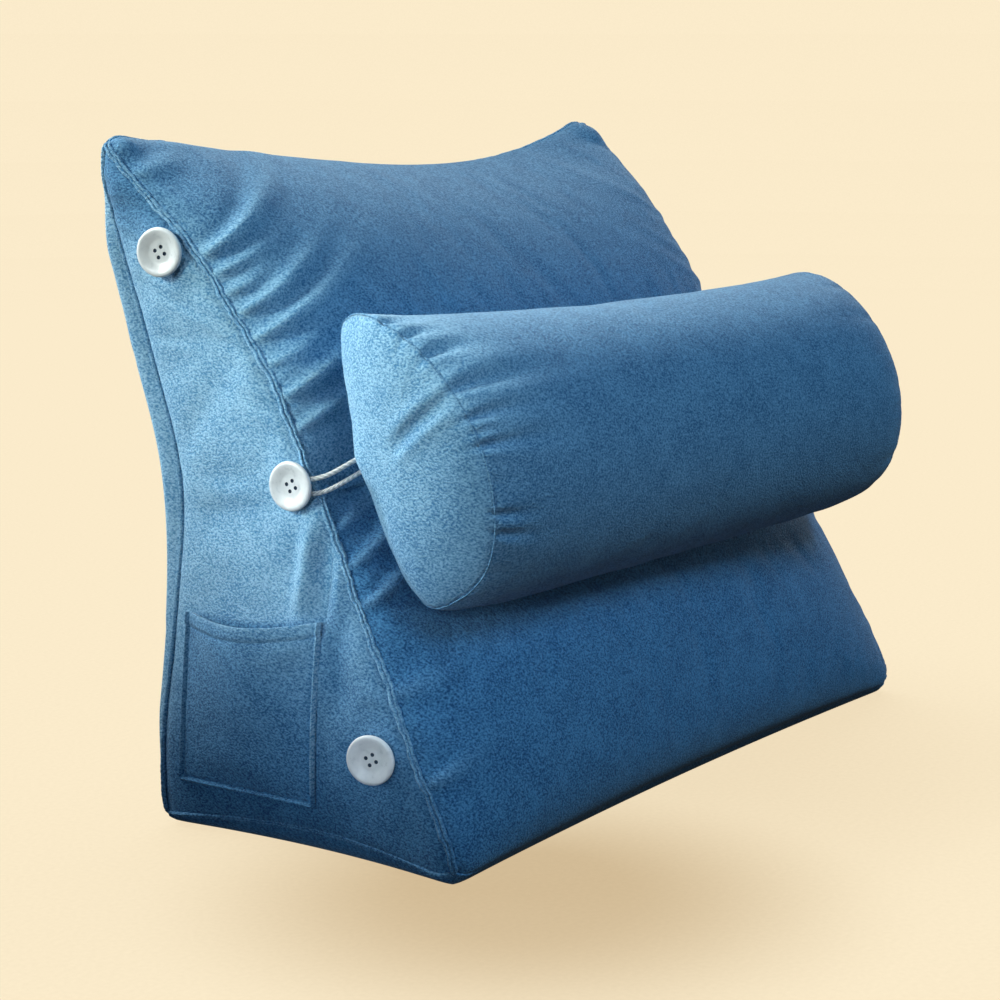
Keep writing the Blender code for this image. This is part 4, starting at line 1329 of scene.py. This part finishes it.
def bolster_naps_and_painted_light(grid):
    """The tone of the caps and of the body: the caps lie light, partly their pile's tone and partly painted
    light, with painted shade over their lower part and toward their lower front; the body is painted light
    only beside the near cap.
    """
    offset = grid - BOLSTER_CENTRE
    place, out, up = (offset @ axis for axis in bolster_axes())
    low = CAP_LOW_PAINTED_SHADE * smooth_step(*CAP_LOW_REACH, up)
    toe = CAP_TOE_PAINTED_SHADE * smooth_step(*CAP_TOE_OUT, out) * smooth_step(*CAP_TOE_UP, up)
    cap = CAP_NAP_AND_PAINTED_LIGHT * (1 - low) * (1 - toe)
    from_end = np.maximum(place + BOLSTER_HALF_LENGTH, 0)
    return cap, BODY_NAP_LOW + (cap - BODY_NAP_LOW) * bell(from_end, BODY_PAINTED_LIGHT_REACH)


def end_seam(path, seed):
    """The thin ridge round one end of the bolster."""
    outward = unit(path - path[:-1].mean(axis=0))
    run, path, outward = evenly(path, RIDGE_STEP, outward)
    across = unit(np.cross(unit(np.gradient(path, axis=0)), outward))
    size = MM * END_SEAM_SIZE * (1 + END_SEAM_UNEVENNESS * waves(run, seed))
    size *= stitched(run, *END_SEAM_PINCH)
    size[-1] = size[0]
    return tube(path, across, outward, RIDGE_PROFILE, size)


class CUSHION_OT_bolster(bpy.types.Operator):
    """Sew and stuff the round neck bolster"""

    bl_idname = "cushion.bolster"
    bl_label = "Bolster"

    def execute(self, context):
        grid = bolster_grid(BOLSTER_SIDES, CAP_RINGS, BODY_RINGS)
        low, high = NEAR_SEEN
        near_back = [tuck for tuck in random_tucks(*NEAR_BACK_TUCKS) if not low < tuck[0] < high]
        swell = bolster_detail(grid, [*NEAR_TUCKS, *near_back], random_tucks(*FAR_TUCKS))
        swell = swell + bolster_folds(BOLSTER_SIDES, CAP_RINGS, BODY_RINGS)
        grid = grid + normals_of(grid, -bolster_axes()[1]) * swell[..., None]
        near, far = CAP_RINGS, CAP_RINGS + BODY_RINGS
        cap_nap_and_painted_light, body_nap_and_painted_light = bolster_naps_and_painted_light(grid)
        patches = [
            (grid[: near + 1], None, cap_nap_and_painted_light[: near + 1]),
            (grid[near : far + 1], None, body_nap_and_painted_light[near : far + 1]),
            (grid[far:], None, cap_nap_and_painted_light[far:]),
        ]
        finish = bpy.data.materials["short_pile_plush"]
        piece = sewn("bolster_cover", patches, finish)
        dress(piece, "plush", "bolster")
        nap = END_SEAM_NAP * RIDGE_NAP_AND_PAINTED_LIGHT
        seams = [(end_seam(grid[row], seed), None, nap) for row, seed in ((near, 20), (far, 21))]
        dress(sewn("bolster_end_seams", seams, finish), "plush")
        return {"FINISHED"}


def side_panel_at(side, y, z):
    """The point of a side at a given depth and height."""
    y, z = np.asarray(y, float), np.asarray(z, float)
    tall = seam_height(1) - seam_height(0)
    u, v = np.full(y.shape, 0.5), (z - seam_height(0)) / tall
    for _ in range(SEARCH_STEPS):
        found = side_panel(side, u, v)
        width = back_seam(side, v)[..., 1] - front_seam(side, v)[..., 1]
        u = u + (y - found[..., 1]) / width
        v = v + (z - found[..., 2]) / tall
    return side_panel(side, u, v)


def side_normal(side, y, z, step=0.004):
    """The outward direction of a side at a given depth and height."""
    along_y = side_panel_at(side, y + step, z) - side_panel_at(side, y - step, z)
    along_z = side_panel_at(side, y, z + step) - side_panel_at(side, y, z - step)
    return unit(np.cross(along_y, along_z) * side)


def pocket_nap_and_painted_light(u, v, below_top, from_edge):
    """The pocket's pile tone, with painted shade toward its foot and painted light along its rolled edges,
    at its mouth, at its top and toward its front top corner.
    """
    nap = POCKET_NAP_AND_PAINTED_LIGHT * smooth_step(*POCKET_PAINTED_SHADE_RISE, v)
    nap = nap + POCKET_CORNER_PAINTED_LIGHT * smooth_step(*POCKET_CORNER_RISE, v - POCKET_CORNER_SLANT * u)
    nap = nap + POCKET_TOP_PAINTED_LIGHT * smooth_step(*POCKET_TOP_RISE, v)
    nap = nap + MOUTH_PAINTED_LIGHT * bell(below_top, MOUTH_LIGHT_REACH)
    rolled = bell(from_edge - ROLL_HIGHLIGHT_PLACE, ROLL_HIGHLIGHT_REACH) * smooth_step(*ROLL_HIGHLIGHT_RISE, v)
    return nap + rolled * (ROLL_PAINTED_HIGHLIGHT + FRONT_ROLL_PAINTED_HIGHLIGHT * smooth_step(*FRONT_HALF, u))


def pocket_thickness(below_top, from_edge):
    """The pocket's cloth with its rolled edge, its hem and the groove of its stitches."""
    thick = POCKET_EDGE + (POCKET_CLOTH - POCKET_EDGE) * smooth_step(0, POCKET_EDGE_REACH, from_edge)
    thick = thick + POCKET_ROLL * bell(from_edge - POCKET_ROLL_PLACE, POCKET_ROLL_REACH)
    thick = thick - POCKET_STITCH * bell(from_edge - POCKET_STITCH_PLACE, POCKET_STITCH_REACH)
    thick = thick + POCKET_HEM_RISE * smooth_step(HEM_STEP, -HEM_STEP, below_top - POCKET_HEM)
    thick = thick - POCKET_STITCH * bell(below_top - POCKET_HEM, HEM_STITCH_REACH)
    thick = np.where(below_top < 1e-6, POCKET_MOUTH_SHARE * thick, thick)
    return np.maximum(thick, POCKET_THINNEST)


class CUSHION_OT_pocket(bpy.types.Operator):
    """Sew the patch pocket on the left side"""

    bl_idname = "cushion.pocket"
    bl_label = "Side pocket"

    def execute(self, context):
        u, v = np.meshgrid(seam_lines(POCKET_COLUMNS), seam_lines(POCKET_ROWS))
        y = POCKET_FRONT_Y + (POCKET_REAR_Y - POCKET_FRONT_Y) * u
        top = pocket_mouth(u)
        z = POCKET_FOOT_Z + (top - POCKET_FOOT_Z) * v
        outward = side_normal(LEFT, y, z)
        wide_power, tall_power = POCKET_STAND
        stand = POCKET_LIFT + POCKET_OPENING * arch(u) ** wide_power * arch(v / 2) ** tall_power
        wide, tall = POCKET_REAR_Y - POCKET_FRONT_Y, top - POCKET_FOOT_Z
        below_top, above_foot = (1 - v) * tall, v * tall
        from_edge = np.minimum(np.minimum(u, 1 - u) * wide, above_foot)
        folds = sum(crease(y, z, *row) for row in POCKET_CREASES)
        inner = side_panel_at(LEFT, y, z) + (stand + folds)[..., None] * outward
        outer = inner + pocket_thickness(below_top, from_edge)[..., None] * outward
        nap = pocket_nap_and_painted_light(u, v, below_top, from_edge)
        patches = [[inner, (1, 0, 0), nap], [outer, (-1, 0, 0), nap]]
        rim = {"south": (0, 0, -1), "north": (0, 0, 1), "west": (0, -1, 0), "east": (0, 1, 0)}
        for edge, hint in rim.items():
            band = np.stack([edge_line(inner, edge), edge_line(outer, edge)])
            # The front rim band takes painted light; the other rim bands take the pocket's tone.
            patches.append([band, hint, FRONT_RIM_PAINTED_LIGHT if edge == "west" else POCKET_NAP_AND_PAINTED_LIGHT])
        piece = sewn("pocket_cloth", patches, bpy.data.materials["short_pile_plush"])
        dress(piece, "plush", "side_pocket")
        return {"FINISHED"}


def button_frame(side, place):
    """Where a button stands: its z points out of the side, turned toward the front."""
    y, z, turn = BUTTONS[place]
    outward = Vector((side * math.cos(turn), -math.sin(turn), 0))
    up = Vector((0, 0, 1))
    axes = Matrix((up.cross(outward), up, outward)).transposed()
    foot = Vector(side_panel_at(side, y, z)) + 2 * PIECE_GAP * outward
    return Matrix.Translation(foot) @ axes.to_4x4()


def turned_button():
    """One button, drawn up ring by ring from its stem, with four holes."""
    bpy.ops.object.select_all(action="DESELECT")
    reach, height = BUTTON_PROFILE[0]
    bpy.ops.mesh.primitive_circle_add(vertices=BUTTON_SEGMENTS, radius=reach * MM, fill_type="NGON")
    button = bpy.context.active_object
    bpy.ops.object.mode_set(mode="EDIT")
    bpy.ops.mesh.select_all(action="SELECT")
    bpy.ops.mesh.flip_normals()
    bpy.ops.mesh.duplicate()
    for radius, level in BUTTON_PROFILE[1:]:
        step = (level - height) * MM
        bpy.ops.mesh.extrude_region_move(TRANSFORM_OT_translate={"value": (0, 0, step)})
        bpy.ops.transform.resize(value=(radius / reach, radius / reach, 1))
        reach, height = radius, level
    bpy.ops.mesh.select_all(action="SELECT")
    bpy.ops.mesh.remove_doubles(threshold=0.00001)
    bpy.ops.mesh.normals_make_consistent(inside=False)
    bpy.ops.object.mode_set(mode="OBJECT")
    top = BUTTON_PROFILE[-1][1] * MM
    for quarter in range(4):
        turn = math.pi / 2 * quarter + HOLE_TURN
        bpy.ops.mesh.primitive_cylinder_add(
            vertices=DRILL_SIDES,
            radius=HOLE_RADIUS,
            depth=DRILL_LENGTH,
            location=(HOLE_RING * math.cos(turn), HOLE_RING * math.sin(turn), HOLE_FLOOR + DRILL_LENGTH / 2),
        )
        pin = bpy.context.active_object
        bpy.context.view_layer.objects.active = button
        cut = button.modifiers.new("hole", "BOOLEAN")
        cut.object, cut.solver = pin, "EXACT"
        bpy.ops.object.modifier_apply(modifier="hole")
        bpy.data.objects.remove(pin)
    bpy.ops.object.select_all(action="DESELECT")
    button.select_set(True)
    bpy.ops.object.shade_smooth_by_angle(angle=SOFT_EDGE)
    button.data.materials.append(moulded_plastic())
    button.data.materials.append(sewing_thread())
    for face in button.data.polygons:
        in_holes = STEM_HEIGHT < face.center.z < top - 0.1 * MM
        if in_holes and face.center.xy.length < HOLE_RING + HOLE_RADIUS:
            face.material_index = 1
    return button


class CUSHION_OT_buttons(bpy.types.Operator):
    """Turn one button and sew it on at six places"""

    bl_idname = "cushion.buttons"
    bl_label = "Buttons"

    def execute(self, context):
        model = turned_button()
        for side, word in ((LEFT, "left"), (RIGHT, "right")):
            for place in BUTTONS:
                made = model.data.copy()
                made.transform(button_frame(side, place))
                made.name = f"sewn_button_{word}_{place}"
                dress(add_mesh(made.name, made), "button_plastic", f"button_{word}_{place}")
        bpy.data.objects.remove(model)
        return {"FINISHED"}


def loop_route(side):
    """Centre line of an elastic loop: from the bolster round the button's stem and back."""
    middle = button_frame(side, "mid") @ Vector((0, 0, (STEM_HEIGHT + PIECE_GAP) / 2))
    low, high = seam_height(0), seam_height(1)
    seam = Vector(front_seam(side, np.array((BUTTONS["mid"][1] - low) / (high - low))))
    over = seam + Vector((side * LOOP_SEAM_OUT, -LOOP_SEAM_FORWARD, 0))
    along, outward, upward = (Vector(axis) for axis in bolster_axes())
    end = Vector(BOLSTER_CENTRE) + side * (BOLSTER_HALF_LENGTH - LOOP_END_INSIDE) * along
    end = end - LOOP_END_BACK * outward + LOOP_END_UP * upward
    forward, up = Vector((0, -1, 0)), Vector((0, 0, 1))
    ring = STEM_RADIUS + CORD_RADIUS + PIECE_GAP
    arc = []
    for i in range(LOOP_ARC_STEPS + 1):
        turn = math.pi * i / LOOP_ARC_STEPS
        arc.append(middle - ring * (forward * math.sin(turn) - up * math.cos(turn)))
    strands = []
    for first, shift in ((arc[0], up * LOOP_SPREAD), (arc[-1], -up * LOOP_SPREAD)):
        bend, stop = over + shift, end + shift
        ahead = (stop - bend).normalized()
        enter = bend.lerp(first, min(1, LOOP_BEND / (first - bend).length))
        leave = bend + LOOP_BEND * ahead
        shares = [(i + 1) / LOOP_BEND_STEPS for i in range(LOOP_BEND_STEPS)]
        route = [enter.lerp(bend, t).lerp(bend.lerp(leave, t), t) for t in shares]
        strands.append(route + [leave.lerp(stop, 0.5), stop])
    return np.array(strands[0][::-1] + arc + strands[1])


class CUSHION_OT_loops(bpy.types.Operator):
    """Braid the two elastic loops that hold the bolster"""

    bl_idname = "cushion.loops"
    bl_label = "Elastic loops"

    def execute(self, context):
        finish = braided_elastic()
        for side, word in ((LEFT, "left"), (RIGHT, "right")):
            run, path = evenly(loop_route(side), CORD_STEP)
            along = unit(np.gradient(path, axis=0))
            across = unit(np.cross(along, (1, 0, 0)))
            outward = np.cross(across, along)
            angle = np.linspace(0, 2 * math.pi, CORD_SIDES + 1)
            turns = math.pi * run[:, None] / BRAID_PITCH
            braid = sum(np.abs(np.sin(turns + way * angle)) for way in (1, -1))
            radius = CORD_RADIUS * (1 - BRAID_DEPTH + BRAID_DEPTH * braid)
            spoke = np.cos(angle)[:, None] * across[:, None] + np.sin(angle)[:, None] * outward[:, None]
            grid = path[:, None] + radius[..., None] * spoke
            piece = sewn(f"elastic_cord_{word}", [(grid, None, 0.0)], finish)
            dress(piece, "elastic_cord", f"elastic_loop_{word}")
        return {"FINISHED"}


def sky_point(bearing, height):
    """A unit vector at a bearing from +X and a height above the level."""
    level = math.cos(height)
    return Vector((math.cos(bearing) * level, math.sin(bearing) * level, math.sin(height)))


def lit_by_lamps(word, start):
    """The pieces that some lamps light: those whose names start so."""
    receivers = bpy.data.collections.new(f"{word}_lit_by_lamps")
    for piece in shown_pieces():
        if piece.name.startswith(start):
            receivers.objects.link(piece)
    return receivers


def hang_lamps(scene, share):
    """Hang the lamps; none of them lights the paper, which has its own even light."""
    cushion, buttons = lit_by_lamps("cushion", ""), lit_by_lamps("buttons", "sewn_button")
    for name, bearing, height, aim, distance, size, cone, power, tint in LIGHTS:
        light = bpy.data.lights.new(name, "SPOT" if cone else "AREA")
        light.energy, light.color = power * share, linear(tint)
        if cone:
            light.shadow_soft_size, light.spot_size, light.spot_blend = size, math.radians(cone), 1.0
        else:
            light.size = size
        away = sky_point(math.radians(bearing), math.radians(height))
        lamp = bpy.data.objects.new(name, light)
        lamp.location = Vector(aim) + distance * away
        lamp.rotation_euler = facing(-away)
        lamp.light_linking.receiver_collection = buttons if name in BUTTON_LIGHTS else cushion
        scene.collection.objects.link(lamp)


def set_camera(scene):
    """Stand the camera where the photo was taken from."""
    camera = bpy.data.cameras.new("photo_camera")
    camera.lens, camera.sensor_width = CAMERA_LENS, CAMERA_SENSOR
    camera.shift_x, camera.shift_y = CAMERA_SHIFT
    eye = bpy.data.objects.new("photo_camera", camera)
    eye.location = CAMERA_PLACE
    level = math.cos(CAMERA_DIP)
    ahead = (math.sin(CAMERA_TURN) * level, math.cos(CAMERA_TURN) * level, -math.sin(CAMERA_DIP))
    eye.rotation_euler = facing(Vector(ahead))
    scene.collection.objects.link(eye)
    scene.camera = eye


class CUSHION_OT_stage(bpy.types.Operator):
    """Lay the paper sweep, hang the lights and set the camera"""

    bl_idname = "cushion.stage"
    bl_label = "Studio"

    def execute(self, context):
        scene = context.scene
        look = scene.cushion_studio
        paper_sweep(look)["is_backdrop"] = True
        black_card()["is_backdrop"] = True
        hang_lamps(scene, look.light_share)
        scene.world = bpy.data.worlds.new("studio_air")
        scene.world.use_nodes = True
        air = scene.world.node_tree.nodes["Background"]
        air.inputs["Color"].default_value = (*linear(AIR_COLOUR), 1)
        air.inputs["Strength"].default_value = look.air_share
        set_camera(scene)
        scene.view_settings.view_transform = "Standard"
        return {"FINISHED"}


class CUSHION_PT_panel(bpy.types.Panel):
    """Lists the cushion's pieces"""

    bl_idname = "CUSHION_PT_panel"
    bl_label = "Reading cushion"
    bl_space_type = "VIEW_3D"
    bl_region_type = "UI"
    bl_category = "Cushion"

    def draw(self, context):
        self.layout.prop(context.scene.cushion_cloth, "gather_strength")
        for operator in OPERATORS:
            self.layout.operator(operator.bl_idname)


OPERATORS = (
    CUSHION_OT_wedge,
    CUSHION_OT_bolster,
    CUSHION_OT_pocket,
    CUSHION_OT_buttons,
    CUSHION_OT_loops,
    CUSHION_OT_stage,
)
CLASSES = (CUSHION_PG_cloth, CUSHION_PG_studio, *OPERATORS, CUSHION_PT_panel)


def register():
    for made in CLASSES:
        bpy.utils.register_class(made)
    bpy.types.Scene.cushion_cloth = bpy.props.PointerProperty(type=CUSHION_PG_cloth)
    bpy.types.Scene.cushion_studio = bpy.props.PointerProperty(type=CUSHION_PG_studio)


def unregister():
    del bpy.types.Scene.cushion_cloth
    del bpy.types.Scene.cushion_studio
    for made in reversed(CLASSES):
        bpy.utils.unregister_class(made)


def main():
    register()
    bpy.ops.cushion.wedge()
    bpy.ops.cushion.bolster()
    bpy.ops.cushion.pocket()
    bpy.ops.cushion.buttons()
    bpy.ops.cushion.loops()
    bpy.ops.cushion.stage()


if __name__ == "__main__":
    main()
